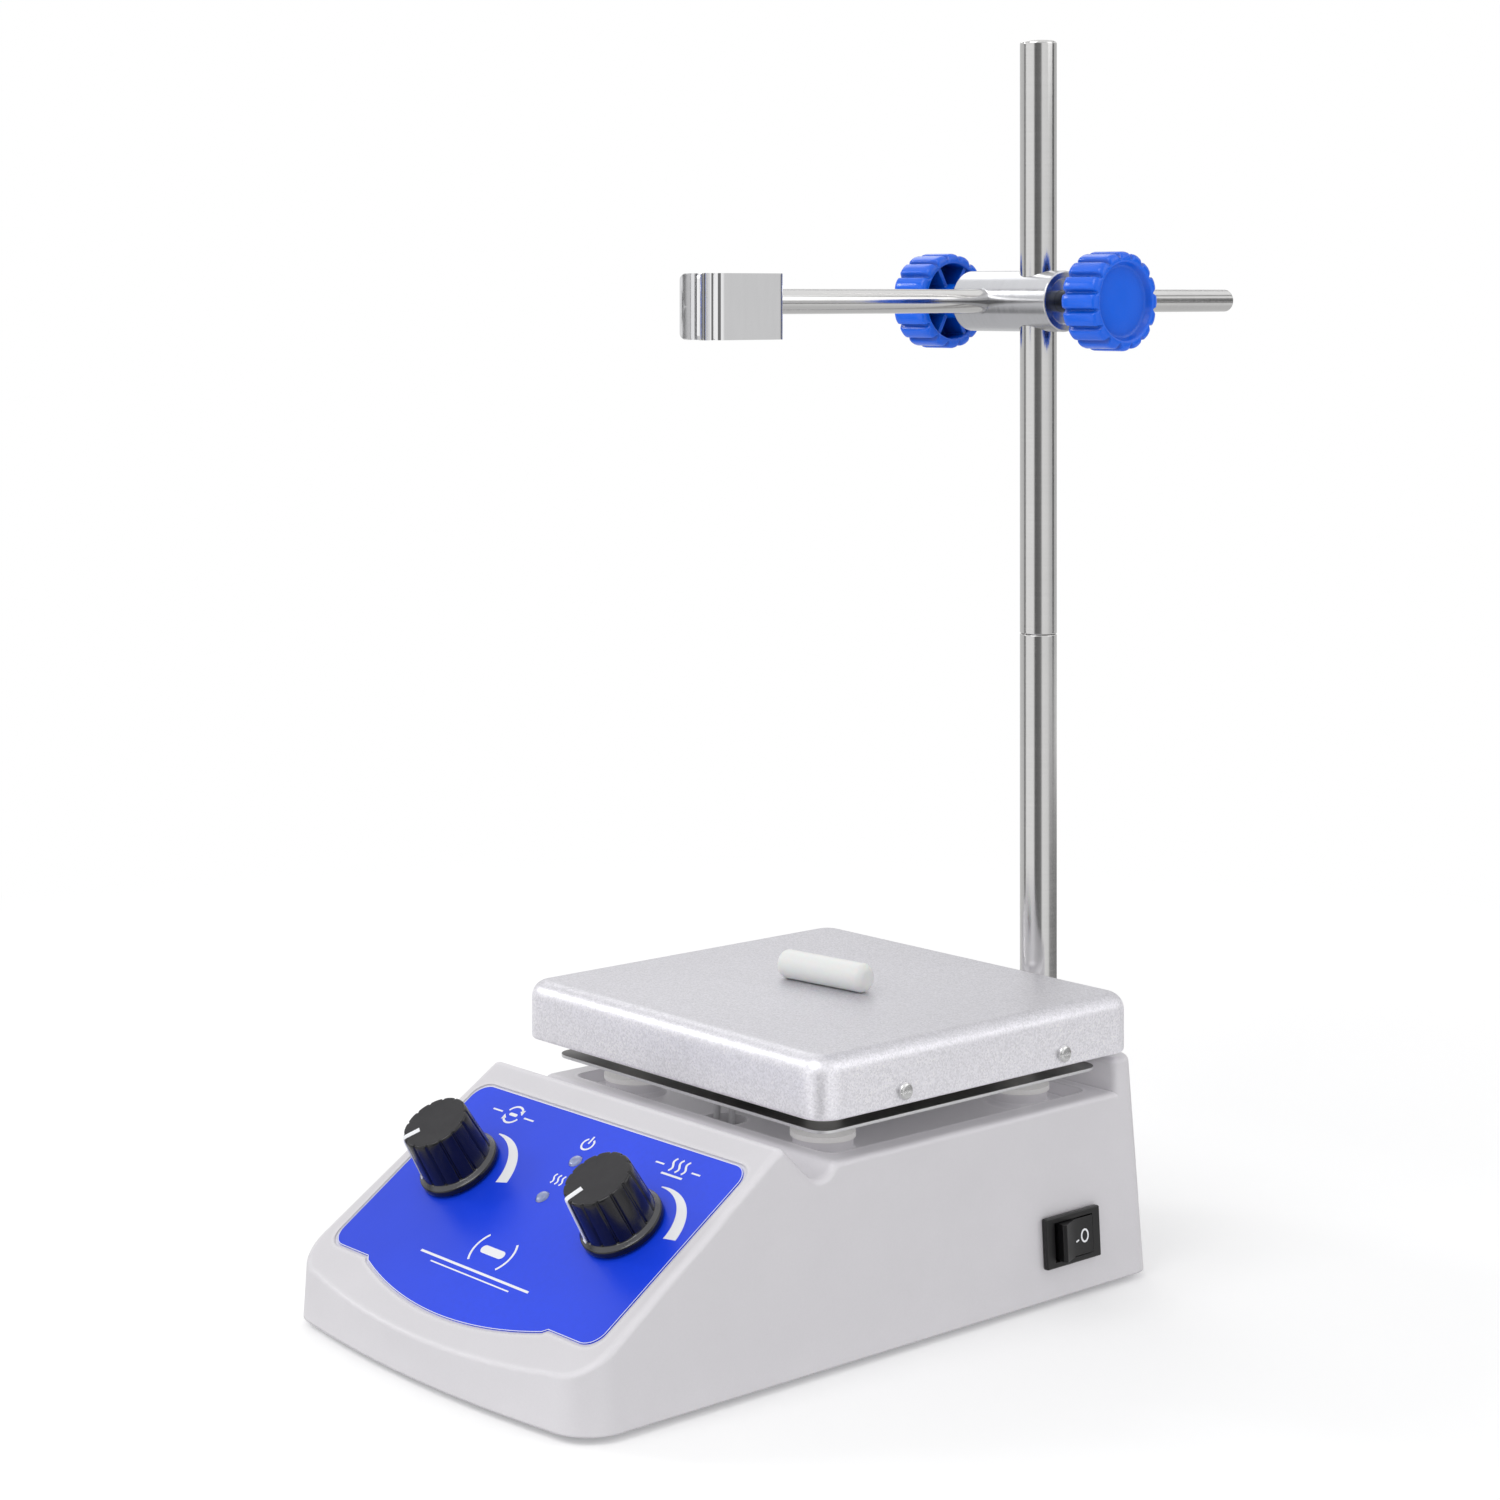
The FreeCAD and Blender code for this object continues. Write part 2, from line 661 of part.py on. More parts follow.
def led(name, at):
    radius = dim.led_radius
    lamp = turned(name + "_body", [
        (0.0, -6.0), (radius + 0.5, -6.0), (radius + 0.5, -4.4), (radius, -4.4),
        (radius, 0.05), (radius - 0.35, 0.45), (radius - 1.0, 0.7), (0.0, 0.7),
    ])
    return fit(lamp, PANEL, *at)


def pot_body(name, at):
    """Potentiometer body and bush, with a flat lug on the downhill side."""
    bore = dim.potshaft_radius + dim.running_gap
    shoulder = -dim.case_wall - 0.4
    pot = turned(name + "_pot", [
        (bore, -13.0), (dim.potbody_radius, -13.0), (dim.potbody_radius, shoulder),
        (dim.potbush_radius, shoulder), (dim.potbush_radius, 3.6), (bore, 3.6),
    ])
    fit(pot, PANEL, *at)
    lug = fit(box(9.0, 7.0, 1.6), PANEL, at[0] - 4.5, at[1] - 13.5, -12.0)
    return fuse([pot, lug], name + "_pot_all")


def pot_nuts():
    corner_radius = 5.8
    turns = [math.radians(60 * k) for k in range(6)]
    hexagon = [(corner_radius * math.cos(a), corner_radius * math.sin(a)) for a in turns]
    nuts = []
    for x, up in POTS:
        nut = body(unique("nut"))
        plan = outline(sketch(nut), hexagon)
        circle(plan, dim.potbush_radius + FIT)
        pad(nut, plan, 2.0)
        nuts.append(fit(nut, PANEL, x, up, 0.07))
    return group(nuts, "pot_nut_set")


def knob(name, at, angle):
    """Fluted knob with a skirt, a blind bore for the spindle and a hollow for the nut."""
    bore, height = dim.potshaft_radius + FIT, dim.knob_height
    hollow_radius, hollow_top = 7.4, 4.2
    underside = 0.65
    grip = turned(name + "_grip", [
        (bore, hollow_top), (hollow_radius, hollow_top), (hollow_radius, underside),
        (dim.knob_skirt, underside), (dim.knob_skirt, 2.3), (dim.knob_base + 0.35, 3.4),
        (dim.knob_base, 3.5), (dim.knob_top, height - 0.6), (dim.knob_top - 0.6, height),
        (0.0, height), (0.0, height - 3.0), (bore, height - 3.0),
    ])
    plan = circle(sketch(grip, offset=height + 1.0), 0.75, dim.knob_base + 0.28)
    polar(grip, pocket(grip, plan, height + 1.0 - 3.6), dim.knob_flutes)
    return fit(grip, PANEL, *at, turn=Rotation(Vector(0, 0, 1), angle))


def spindle(name, at, angle):
    depth = 12.5
    pin = body(name + "_spindle")
    pad(pin, circle(sketch(pin), dim.potshaft_radius), dim.knob_height - 3.1 + depth)
    return fit(pin, PANEL, *at, -depth, turn=Rotation(Vector(0, 0, 1), angle))


# ------------------------------------------------------------------ rocker switch
ROCKER_OUT = 0.6            # the rocker's axis stands this far out of the wall


def switch_bezel():
    frame = fillet(wall_box(FIT, 1.9, dim.switch_width, dim.switch_height), 0.5,
                   lambda e: True)
    shell = wall_box(-13.0, 0.6, 19.0, 12.4)
    well = wall_box(-9.0, 3.0, 15.2, 10.4)
    terminals = [wall_box(-19.0, -12.0, 0.8, 4.8, y) for y in (-6.0, 0.0, 6.0)]
    pin_hole = fit(cylinder(1.05, 12.2, (0.0, 0.0, 0.0)), WALL, ROCKER_OUT, 0.0, -6.1)
    return cut(fuse([frame, shell] + terminals), [well, pin_hole], "switch_case")


def switch_rocker():
    """At rest its rear half is pressed in; it turns on a pin whose axis runs up the wall."""
    rocker = body("rocker_form")
    half = dim.rocker_length / 2
    plan = outline(sketch(rocker), [
        (-4.4, -half * 0.55), (2.1, -half), (3.0, -half + 0.6), (1.5, 0.0),
        (3.0, half - 0.6), (2.1, half), (-4.4, half * 0.55),
    ])
    pad(rocker, plan, dim.rocker_width, mid=True)
    fit(rocker, WALL, ROCKER_OUT, turn=Rotation(Vector(0, 0, 1), 11.0))
    pin = fit(cylinder(1.0, 11.8, (0.0, 0.0, 0.0)), WALL, ROCKER_OUT, 0.0, -5.9)
    return fuse([rocker, pin], "rocker_all")


# ------------------------------------------------------------------ mains inlet
def power_inlet():
    block = rear_box(27.4, 19.8, -14.0, 0.5)
    flange = fillet(rear_box(31.0, 23.4, FIT, 2.0), 1.4, lambda e: 1.9 < e.Length < 2.05)
    return cut(fuse([block, flange]), [rear_box(24.4, 16.2, -12.0, 4.0)], "inlet_case")


def inlet_pins():
    places = [(-7.0, -2.0), (7.0, -2.0), (0.0, 2.6)]
    pins = [rear_box(2.0, 4.0, -11.98, -2.2, x, z) for x, z in places]
    return group([fillet(pin, 0.4, lambda e: middle(e).y > 62.0) for pin in pins],
                 "inlet_pin_set")


# ------------------------------------------------------------------ hot plate
def side_screw_places():
    """Outward axis, side, y and z of the screws in the plate's left and right faces."""
    return [("x" if sx > 0 else "-x", sx, dim.sidescrew_pitch * sy, dim.sidescrew_height)
            for sx in (-1, 1) for sy in (-1, 1)]


def hot_plate():
    """Plate hollowed from below, with four drilled bosses in the cavity."""
    plate = slab("hot_plate_form", round_rect(plate_half, plate_half, dim.plate_corner),
                 dim.plate_bottom, dim.plate_thick)
    soften(plate, dim.plate_edge, lambda e: near(middle(e).z, plate_top))
    soften(plate, 0.8, lambda e: near(middle(e).z, dim.plate_bottom))
    cavity = dim.plate_cavityside / 2
    pierce(plate, dim.plate_bottom, rects=[(cavity, cavity, dim.plate_corner - 2.5)],
           depth=dim.plate_cavitydepth)
    bosses = sketch(plate, offset=clamp_top + FIT)
    for x, y in MOUNTS:
        circle(bosses, dim.plate_bossradius, x, y)
    pad(plate, bosses, cavity_top - clamp_top)
    pierce(plate, clamp_top, [(2.05, x, y) for x, y in MOUNTS], depth=6.2)
    side_holes = [cylinder(dim.sidescrew_shank + 0.03, 8.0, (52.5 * sx, y, z), axis)
                  for axis, sx, y, z in side_screw_places()]
    return cut(plate, side_holes, "hot_plate_drilled")


def plate_side_screws():
    screws = []
    head_low, head_height = plate_half + 0.03, 1.5
    for axis, sx, y, z in side_screw_places():
        head_end = float(head_low + head_height) * sx
        head = fillet(cylinder(dim.sidescrew_head, head_height, (head_low * sx, y, z), axis),
                      0.9, lambda e: near(middle(e).x, head_end) and e.Length > 8)
        shank = cylinder(dim.sidescrew_shank, 6.6, (53.9 * sx, y, z), axis)
        slot = box(1.0, 5.0, 0.6, (61.0 if sx > 0 else -62.0, y - 2.5, z - 0.3))
        screws.append(cut(fuse([head, shank]), [slot]))
    return group(screws, "side_screw_set")


def heating_element():
    """Disc notched round the plate's bosses, with two terminals on its underside."""
    low = cavity_top - dim.heater_thick
    disc = body("heater_form")
    pad(disc, circle(sketch(disc, offset=low - FIT), dim.heater_radius), dim.heater_thick)
    notches = [(8.0, 8.0, 3.0, x + 1.5 * sx, y + 1.5 * sy)
               for (x, y), (sx, sy) in zip(MOUNTS, CORNERS)]
    pierce(disc, dim.plate_bottom, rects=notches)
    terminals = [centred_box(4.0, 9.0, 1.0, x, WIRE_Y, low - 1.0) for x in (-6.0, 6.0)]
    return fuse([disc] + terminals, "heater_all")


def insulation_pad():
    half = dim.pad_side / 2
    layer = slab("pad_form", round_rect(half, half, 4.0), clamp_top + FIT, dim.pad_thick)
    pierce(layer, clamp_top, [(dim.plate_bossradius + 0.3, x, y) for x, y in MOUNTS],
           [(10.0, 6.0, 2.0, 0.0, WIRE_Y)])
    return layer


def heater_clamp_plate():
    half, low = dim.clampplate_side / 2, dim.clampplate_bottom
    plate = slab("clamp_plate_form", round_rect(half, half, 4.0), low, dim.clampplate_thick)
    pierce(plate, low, [(dim.standoff_bore, x, y) for x, y in MOUNTS],
           [(9.0, 5.0, 2.0, 0.0, WIRE_Y)])
    return plate


def reflector_plate():
    half, low = dim.reflector_side / 2, dim.reflector_bottom
    plate = slab("reflector_form", round_rect(half, half, dim.reflector_corner), low,
                 dim.reflector_thick)
    holes = [(dim.standoff_bore, x, y) for x, y in MOUNTS]
    pierce(plate, low, holes + [(7.0, *THERMOSTAT_AT), (6.0, 0.0, WIRE_Y)])
    return plate


def mount_rings(name, radius, low, top):
    """One ring round each of the four mounting screws."""
    height = top - low
    rings = [cut(cylinder(radius, height, (x, y, low)),
                 [cylinder(dim.standoff_bore, height + 2.0, (x, y, low - 1.0))])
             for x, y in MOUNTS]
    return group(rings, name)


def plate_mount_screws():
    """Screws from under the deck up into the plate's bosses, with round sockets."""
    screws = []
    for x, y in MOUNTS:
        whole = fuse([cylinder(3.9, 2.4, (x, y, 44.98)), cylinder(2.0, 27.0, (x, y, 46.0))])
        screws.append(cut(whole, [cylinder(1.6, 1.6, (x, y, 44.5))]))
    return group(screws, "mount_screw_set")


def overheat_thermostat():
    """Round can with a strap, and two tabs below, hung under the clamp plate."""
    x, y = THERMOSTAT_AT
    top = dim.clampplate_bottom
    can = cylinder(6.5, 4.2, (x, y, top - 4.2))
    strap = centred_box(5.0, 18.0, 0.8, x, y, top - 0.8)
    tabs = [centred_box(3.0, 0.6, 5.6, x + dx, y, top - 9.0) for dx in (-3.0, 3.0)]
    return fuse([can, strap] + tabs, "thermostat_all")


# ------------------------------------------------------------------ motor and magnets
MOTOR_SCREWS_X = (-12.5, 12.5)
BRACKET_SCREWS = [(x, y) for x in (-33.5, 33.5) for y in (-11.0, 11.0)]
BRACKET_THICK = 1.5
bracket_low = base_top + FIT
bracket_foot = bracket_low + BRACKET_THICK      # top of the bracket's feet
bracket_top = motor_top + BRACKET_THICK
SPIN = 7.0                  # resting angle of magnets and stir bar about the stirring axis
yoke_low = 45.0


def motor_body():
    bore = dim.motor_shaftradius + dim.running_gap
    low, radius = dim.motor_bottom, dim.motor_radius
    motor = turned("motor_form", [
        (bore, low + 3.0), (5.0, low + 3.0), (5.0, low), (radius - 1.0, low),
        (radius, low + 1.0), (radius, motor_top), (6.0, motor_top), (6.0, motor_top + 3.0),
        (bore, motor_top + 3.0),
    ])
    holes = sketch(motor, offset=motor_top)
    for x in MOTOR_SCREWS_X:
        circle(holes, 1.3, x)
    pocket(motor, holes, 4.0)
    return motor


def motor_bracket():
    """Strip bent to a bridge over the motor, with a foot on each side."""
    bracket = body("bracket_form")
    inner, outer = 28.0, 28.0 + BRACKET_THICK
    toe, heel = 38.0, 26.0
    plan = outline(sketch(bracket, "XZ_Plane"), [
        (-toe, bracket_low), (-heel, bracket_low), (-heel, bracket_foot),
        (-inner, bracket_foot), (-inner, motor_top), (inner, motor_top),
        (inner, bracket_foot), (heel, bracket_foot), (heel, bracket_low),
        (toe, bracket_low), (toe, bracket_foot), (outer, bracket_foot),
        (outer, bracket_top), (-outer, bracket_top), (-outer, bracket_foot),
        (-toe, bracket_foot),
    ])
    pad(bracket, plan, 34.0, mid=True)
    pierce(bracket, motor_top - 1.0,
           [(6.2, 0.0, 0.0)] + [(1.6, x, 0.0) for x in MOTOR_SCREWS_X], depth=4.0)
    pierce(bracket, 3.0, [(1.6, x, y) for x, y in BRACKET_SCREWS], depth=4.0)
    return bracket


def motor_screws():
    screws = [slotted_screw(x, 0.0, bracket_top, 1.8, bracket_top - 4.5, 4.6)
              for x in MOTOR_SCREWS_X]
    screws += [slotted_screw(x, y, bracket_foot, 1.8, bracket_low + 0.1, 1.5)
               for x, y in BRACKET_SCREWS]
    return group(screws, "motor_screw_set")


def magnet_yoke():
    """Disc on a hub, pressed on the motor shaft."""
    bore, top = dim.motor_shaftradius + 0.01, yoke_low + dim.yoke_thick
    hub_radius, hub_low = 6.0, 38.6
    return turned("yoke_form", [
        (bore, hub_low), (hub_radius, hub_low), (hub_radius, yoke_low),
        (dim.yoke_radius, yoke_low), (dim.yoke_radius, top), (bore, top),
    ])


def drive_magnets():
    across = dim.magnet_offset * math.cos(math.radians(SPIN))
    along = dim.magnet_offset * math.sin(math.radians(SPIN))
    magnets = [cylinder(dim.magnet_radius, dim.magnet_height,
                        (across * k, along * k, yoke_low + dim.yoke_thick)) for k in (-1, 1)]
    return group([fillet(magnet, 0.5, lambda e: e.Length > 20) for magnet in magnets],
                 "magnet_set")


# the stir bar is a sealed capsule with a rod magnet inside, lying on the plate
LYING = Rotation(Vector(0, 0, 1), SPIN).multiply(Rotation(Vector(0, 1, 0), 90))
stirbar_z = plate_top + dim.stirbar_radius + 0.03


def stir_bar():
    radius, half = dim.stirbar_radius, dim.stirbar_length / 2
    core_radius, core_half = 2.6, half - 3.0
    bar = turned("stirbar_form", [
        (0.0, -half), (radius * 0.5, -half, 2.2), (radius, -half + 2.6),
        (radius, half - 2.6, 2.2), (radius * 0.5, half), (0.0, half),
        (0.0, core_half), (core_radius, core_half), (core_radius, -core_half),
        (0.0, -core_half),
    ])
    doc.recompute()
    return place(bar, (0.0, 0.0, stirbar_z), LYING)


def stir_bar_magnet():
    length = dim.stirbar_length - 6.04
    core = cylinder(2.59, length, (0.0, 0.0, 0.0), name="stirbar_core")
    return fit(core, Placement(Vector(0, 0, float(stirbar_z)), LYING), z=-length / 2)


# ------------------------------------------------------------------ electronics
BOARD_LOW, BOARD_THICK, BOARD_Y = 9.0, 1.6, -92.0
BOARD_TOP = BOARD_LOW + BOARD_THICK
PART_LOW = BOARD_TOP + 0.04             # underside of the parts on the board
BOARD_HOLES = [(32.5 * sx, BOARD_Y + 17.5 * sy) for sx, sy in [(-1, -1), (1, -1), (1, 1), (-1, 1)]]


def control_board():
    board = slab("pcb_form", round_rect(36.0, 21.0, 2.0, 0.0, BOARD_Y), BOARD_LOW, BOARD_THICK)
    pierce(board, BOARD_LOW, [(1.6, x, y) for x, y in BOARD_HOLES])
    return board


def board_spacers():
    low = base_top + FIT
    spacers = [cut(cylinder(3.0, BOARD_LOW - FIT - low, (x, y, low)),
                   [cylinder(1.3, 6.0, (x, y, 4.0))]) for x, y in BOARD_HOLES]
    return group(spacers, "board_spacer_set")


def board_screws():
    return group([slotted_screw(x, y, BOARD_TOP, 1.6, 5.2, 5.6) for x, y in BOARD_HOLES],
                 "board_screw_set")


def triac_heatsink():
    """Comb profile with four upright fins, running front to rear."""
    left, width, fin = -28.0, 22.0, 1.4
    floor, top = 13.0, 22.0
    comb = []
    for start in (20.6, 14.0, 6.6, 0.0):
        low_x, high_x = left + start, left + start + fin
        comb += [(high_x, floor), (high_x, top), (low_x, top), (low_x, floor)]
    sink = body("sink_form")
    # the outer faces of the end fins run straight down to the base
    profile = [(left, PART_LOW), (left + width, PART_LOW)] + comb[1:-1]
    pad(sink, outline(sketch(sink, "XZ_Plane", 76.0), profile), 14.0)
    return sink


def smoothing_capacitor():
    height = 12.0
    return fillet(cylinder(5.0, height, (4.0, -82.0, PART_LOW)), 0.8,
                  lambda e: near(middle(e).z, PART_LOW + height) and e.Length > 20)


def terminal_block():
    x, y = 20.0, -79.0
    holes = [cylinder(1.6, 4.0, (x + dx, y, 17.0)) for dx in (-6.0, 0.0, 6.0)]
    return cut(centred_box(20.0, 8.0, 9.0, x, y, PART_LOW), holes, "terminal_all")


def board_fuse():
    y = -101.0
    holders = [centred_box(2.0, 6.0, 5.0, x, y, PART_LOW) for x in (-8.0, 8.0)]
    return fuse([cylinder(2.5, 18.0, (-9.0, y, 15.0), "x")] + holders, "fuse_all")


def heater_relay():
    return fillet(centred_box(15.0, 10.0, 10.0, 26.0, -100.0, PART_LOW), 0.7,
                  lambda e: middle(e).z > 12)


# wires: points x, y, z on each run's centre line, inside the case
MAINS_RUNS = [
    [(-29.0, 49.5, 22.0), (-36.0, 40.0, 12.0), (-45.0, 10.0, 8.4), (-46.0, -40.0, 8.4),
     (-40.0, -64.0, 12.0), (-12.0, -65.0, 22.0), (12.0, -70.0, 25.5), (14.0, -77.5, 24.0),
     (14.0, -79.0, 19.6)],
    [(-15.0, 49.5, 22.0), (-5.0, 42.0, 12.0), (20.0, 33.0, 10.0), (38.5, 32.8, 12.0)],
]
HEATER_RUNS = [
    [(-3.0, WIRE_Y, 69.8), (-3.0, WIRE_Y, 60.0), (-3.0, WIRE_Y, 48.0), (0.0, -44.0, 36.0),
     (14.0, -66.0, 28.0), (19.6, -78.0, 25.0), (20.0, -79.0, 19.6)],
    [(3.0, WIRE_Y, 69.8), (3.0, WIRE_Y, 60.0), (3.0, WIRE_Y, 48.0), (8.0, -44.0, 36.0),
     (22.0, -66.0, 28.0), (25.8, -78.0, 25.0), (26.0, -79.0, 19.6)],
]


def curve_through(points, **ends):
    curve = Part.BSplineCurve()
    curve.interpolate(Points=points, **ends)
    return curve


def wire(points, radius):
    """Round wire along a smooth path."""
    places = [Vector(*p) for p in points]
    curve = curve_through(places)
    start = curve.tangent(curve.FirstParameter)[0]
    section = Part.Wire([Part.Circle(places[0], start, radius).toShape()])
    return Part.Wire([curve.toShape()]).makePipeShell([section], True, True)


def cable(name, runs, radius):
    obj = doc.addObject("Part::Feature", name)
    obj.Shape = Part.makeCompound([wire(run, radius) for run in runs])
    return obj


# ------------------------------------------------------------------ support rod
JOINT_RADIUS = 3.0          # stud that joins the two rod lengths


def on_rod(radius, length, low, name=None):
    """Cylinder on the support rod's axis."""
    return cylinder(radius, length, (dim.rod_x, dim.rod_y, low), name=name)


def rod_rim(edge):
    return near(edge.Length, 2 * math.pi * float(dim.rod_radius), 0.1)


def rod_socket():
    return cut(on_rod(dim.socket_radius, 31.8, 29.0),
               [on_rod(dim.rod_spigot + dim.running_gap, 24.0, 37.0)], "rod_socket_all")


def lower_rod():
    whole = fuse([on_rod(dim.rod_radius, dim.rod_seam - dim.rod_base - 0.12, dim.rod_base),
                  on_rod(dim.rod_spigot, 20.0, dim.rod_base - 19.0)])
    drilled = cut(whole, [on_rod(JOINT_RADIUS + FIT, 14.0, dim.rod_seam - 13.0)])
    return fillet(drilled, 0.35, lambda e: rod_rim(e) and middle(e).z > 100, "lower_rod_all")


def upper_rod():
    whole = on_rod(dim.rod_radius, dim.rod_top - dim.rod_seam, dim.rod_seam)
    drilled = cut(whole, [on_rod(JOINT_RADIUS + FIT, 14.0, dim.rod_seam - 1.0)])
    seam_eased = fillet(drilled, 0.35, lambda e: rod_rim(e) and middle(e).z < 200)
    return fillet(seam_eased, 1.0, lambda e: rod_rim(e) and middle(e).z > 300, "upper_rod_all")


# ------------------------------------------------------------------ boss head and clamps
def along_head(radius, length, start_x, name=None):
    """Cylinder on the boss head's axis, running to +X."""
    return cylinder(radius, length, (start_x, dim.rod_y, dim.head_height), "x", name)


def along_arm(radius, length, start_y):
    """Cylinder on the cross rod's axis, running to +Y."""
    return cylinder(radius, length, (dim.arm_x, start_y, dim.head_height), "y")


def boss_head():
    """Round bar drilled for both rods and, from its ends, for the two clamp studs."""
    gap = dim.running_gap
    left, right = dim.head_left, dim.head_left + dim.head_length
    bar = fillet(along_head(dim.head_radius, dim.head_length, left), 0.5,
                 lambda e: e.Length > 50)
    return cut(bar, [
        on_rod(dim.rod_radius + gap, 30.0, dim.head_height - 15.0),
        along_arm(dim.arm_radius + gap, 30.0, dim.rod_y - 15.0),
        along_head(dim.stud_radius + gap, 14.0, dim.rod_x + 3.0),
        along_head(dim.stud_radius + gap, 14.0, left - 1.0),
        along_head(6.6, 2.2, right - 1.2),
        along_head(6.6, 2.2, left - 1.0),
    ], "boss_head_all")


def clamp_knob(name, face_x, sign):
    """Lobed thumb knob: dished outer face, hollow back with ribs and a hub.
    The face at face_x points along sign * X; the body's z = 0 is the back."""
    radius, thick = dim.grip_radius, dim.grip_thick
    bore, hub, hollow, rim = dim.stud_radius + FIT, 5.0, 11.0, 1.2
    grip = turned(name, [
        (bore, -2.6), (hub, -2.6), (hub, 8.6), (hollow, 8.6), (hollow, 0.0),
        (radius - rim, 0.0), (radius, rim), (radius, thick - rim), (radius - rim, thick),
        (radius - 2.8, thick), (radius - 5.2, thick - 1.9), (0.0, thick - 1.9), (0.0, 8.1),
        (bore, 8.1),
    ])
    plan = circle(sketch(grip, offset=thick + 1.0), 1.55, radius + 0.55)
    polar(grip, pocket(grip, plan, thick + 2.0), dim.grip_lobes)
    ribs = []
    for k in range(6):
        spoke = Placement(Vector(), Rotation(Vector(0, 0, 1), 60 * k))
        ribs.append(fit(box(7.0, 1.3, 7.9), spoke, 4.7, -0.65, 1.0))
    whole = fuse([grip] + ribs, name + "_all")
    back = Vector(float(face_x - sign * thick), float(dim.rod_y), float(dim.head_height))
    return fit(whole, Placement(back, Rotation(Vector(0, 1, 0), 90 * sign)))


def rod_clamp_stud():
    start, end = dim.rod_x + dim.rod_radius + 0.1, 46.8
    return along_head(dim.stud_radius, end - start, start, "rod_stud")


def arm_clamp_stud():
    start, end = -22.0, dim.arm_x - dim.arm_radius - 0.2
    return along_head(dim.stud_radius, end - start, start, "arm_stud")


def cross_rod():
    """Its front end is bored for the clip's screw."""
    rod = fillet(along_arm(dim.arm_radius, dim.arm_length, dim.arm_front), 0.5,
                 lambda e: e.Length > 10)
    return cut(rod, [along_arm(1.52, 10.0, dim.arm_front - 1.0)], "cross_rod_all")


def clip_screw():
    return fuse([along_arm(1.5, 10.2, dim.arm_front - 2.0),
                 along_arm(3.2, 1.6, dim.arm_front - 3.0)], "clip_screw_all")


# ------------------------------------------------------------------ spring clip
# The clip is a bent strip, drawn in plan. Its places are measured from the middle of its
# back: x from the cross rod's axis, y from the strip's middle line.
CLIP_HALF = 7.6             # the legs start this far to each side
CLIP_BEND = 1.0             # radius of the two corners
CLIP_STRAIGHT = -21.4       # end of the straight part of the right leg
RIGHT_TAIL = [(5.3, -23.7), (4.9, -24.9), (6.3, -27.2), (6.9, -30.0)]
LEFT_LEG = [(-8.2, -6.0), (-6.6, -12.0), (-2.6, -17.6), (-0.6, -20.8), (-1.2, -23.8),
            (-3.2, -27.4)]
clip_back_y = float(dim.arm_front - 0.06 - dim.clip_thick / 2)


def clip_point(x, y):
    return Vector(float(dim.arm_x) + x, clip_back_y + y, 0)


def clip_corner(side):
    inner = CLIP_HALF - CLIP_BEND
    diagonal = CLIP_BEND * 0.7071
    return Part.Arc(clip_point(side * inner, 0.0),
                    clip_point(side * (inner + diagonal), diagonal - CLIP_BEND),
                    clip_point(side * CLIP_HALF, -CLIP_BEND)).toShape()


def clip_path():
    """Middle line of the strip, from the right leg's tip round the back to the left one's."""
    inner = CLIP_HALF - CLIP_BEND
    straight_end = clip_point(CLIP_HALF, CLIP_STRAIGHT)
    right_tail = curve_through([straight_end] + [clip_point(x, y) for x, y in RIGHT_TAIL],
                               InitialTangent=Vector(0, -1, 0),
                               FinalTangent=Vector(0.5, -1, 0))
    left_start = clip_point(-CLIP_HALF, -CLIP_BEND)
    left_leg = curve_through([left_start] + [clip_point(x, y) for x, y in LEFT_LEG],
                             InitialTangent=Vector(-0.2, -1, 0),
                             FinalTangent=Vector(-0.5, -1, 0))
    straight = Part.LineSegment(clip_point(CLIP_HALF, -CLIP_BEND), straight_end)
    back = Part.LineSegment(clip_point(-inner, 0.0), clip_point(inner, 0.0))
    edges = [right_tail.toShape().reversed(), straight.toShape(), clip_corner(1),
             back.toShape(), clip_corner(-1), left_leg.toShape()]
    return Part.Wire(Part.__sortEdges__(edges))


def clip_band():
    """Face as wide as the strip is thick, around the middle line."""
    points = clip_path().discretize(Number=400)
    offset = float(dim.clip_thick) / 2
    left, right = [], []
    for i, point in enumerate(points):
        before, after = points[max(i - 1, 0)], points[min(i + 1, len(points) - 1)]
        along = (after - before).normalize()
        normal = Vector(-along.y, along.x, 0)
        left.append(point + normal * offset)
        right.append(point - normal * offset)
    # every third point carries the curves; 400 points keep both ends
    left, right = left[::3], right[::3]
    return Part.Face(Part.Wire(Part.__sortEdges__([
        curve_through(left).toShape(), Part.LineSegment(left[-1], right[-1]).toShape(),
        curve_through(right).toShape(), Part.LineSegment(right[0], left[0]).toShape()])))


def spring_clip():
    height, level = float(dim.clip_height), float(dim.head_height)
    strip = clip_band().extrude(Vector(0, 0, height))
    strip.translate(Vector(0, 0, level - float(dim.clip_drop) - height / 2))
    # the short level edges at the tips are the corners to round
    tips = [e for e in strip.Edges
            if e.Length < 1.2 and abs(e.tangentAt(e.FirstParameter).z) < 0.01]
    strip = strip.makeFillet(1.8, tips)
    screw_hole = Part.makeCylinder(1.5 + float(dim.running_gap), 6,
                                   Vector(float(dim.arm_x), clip_back_y - 3, level),
                                   Vector(0, 1, 0))
    clip = doc.addObject("Part::Feature", "clip_strip")
    clip.Shape = strip.cut(screw_hole)
    clip.Placement = Placement()
    return clip


# ------------------------------------------------------------------ build every piece
NODES = {}


def node(name, obj):
    obj.Label = name
    NODES[name] = obj


node("housing_shell", housing())
node("base_plate", base_plate())
node("base_screws", base_screws())
node("rubber_feet", rubber_feet())

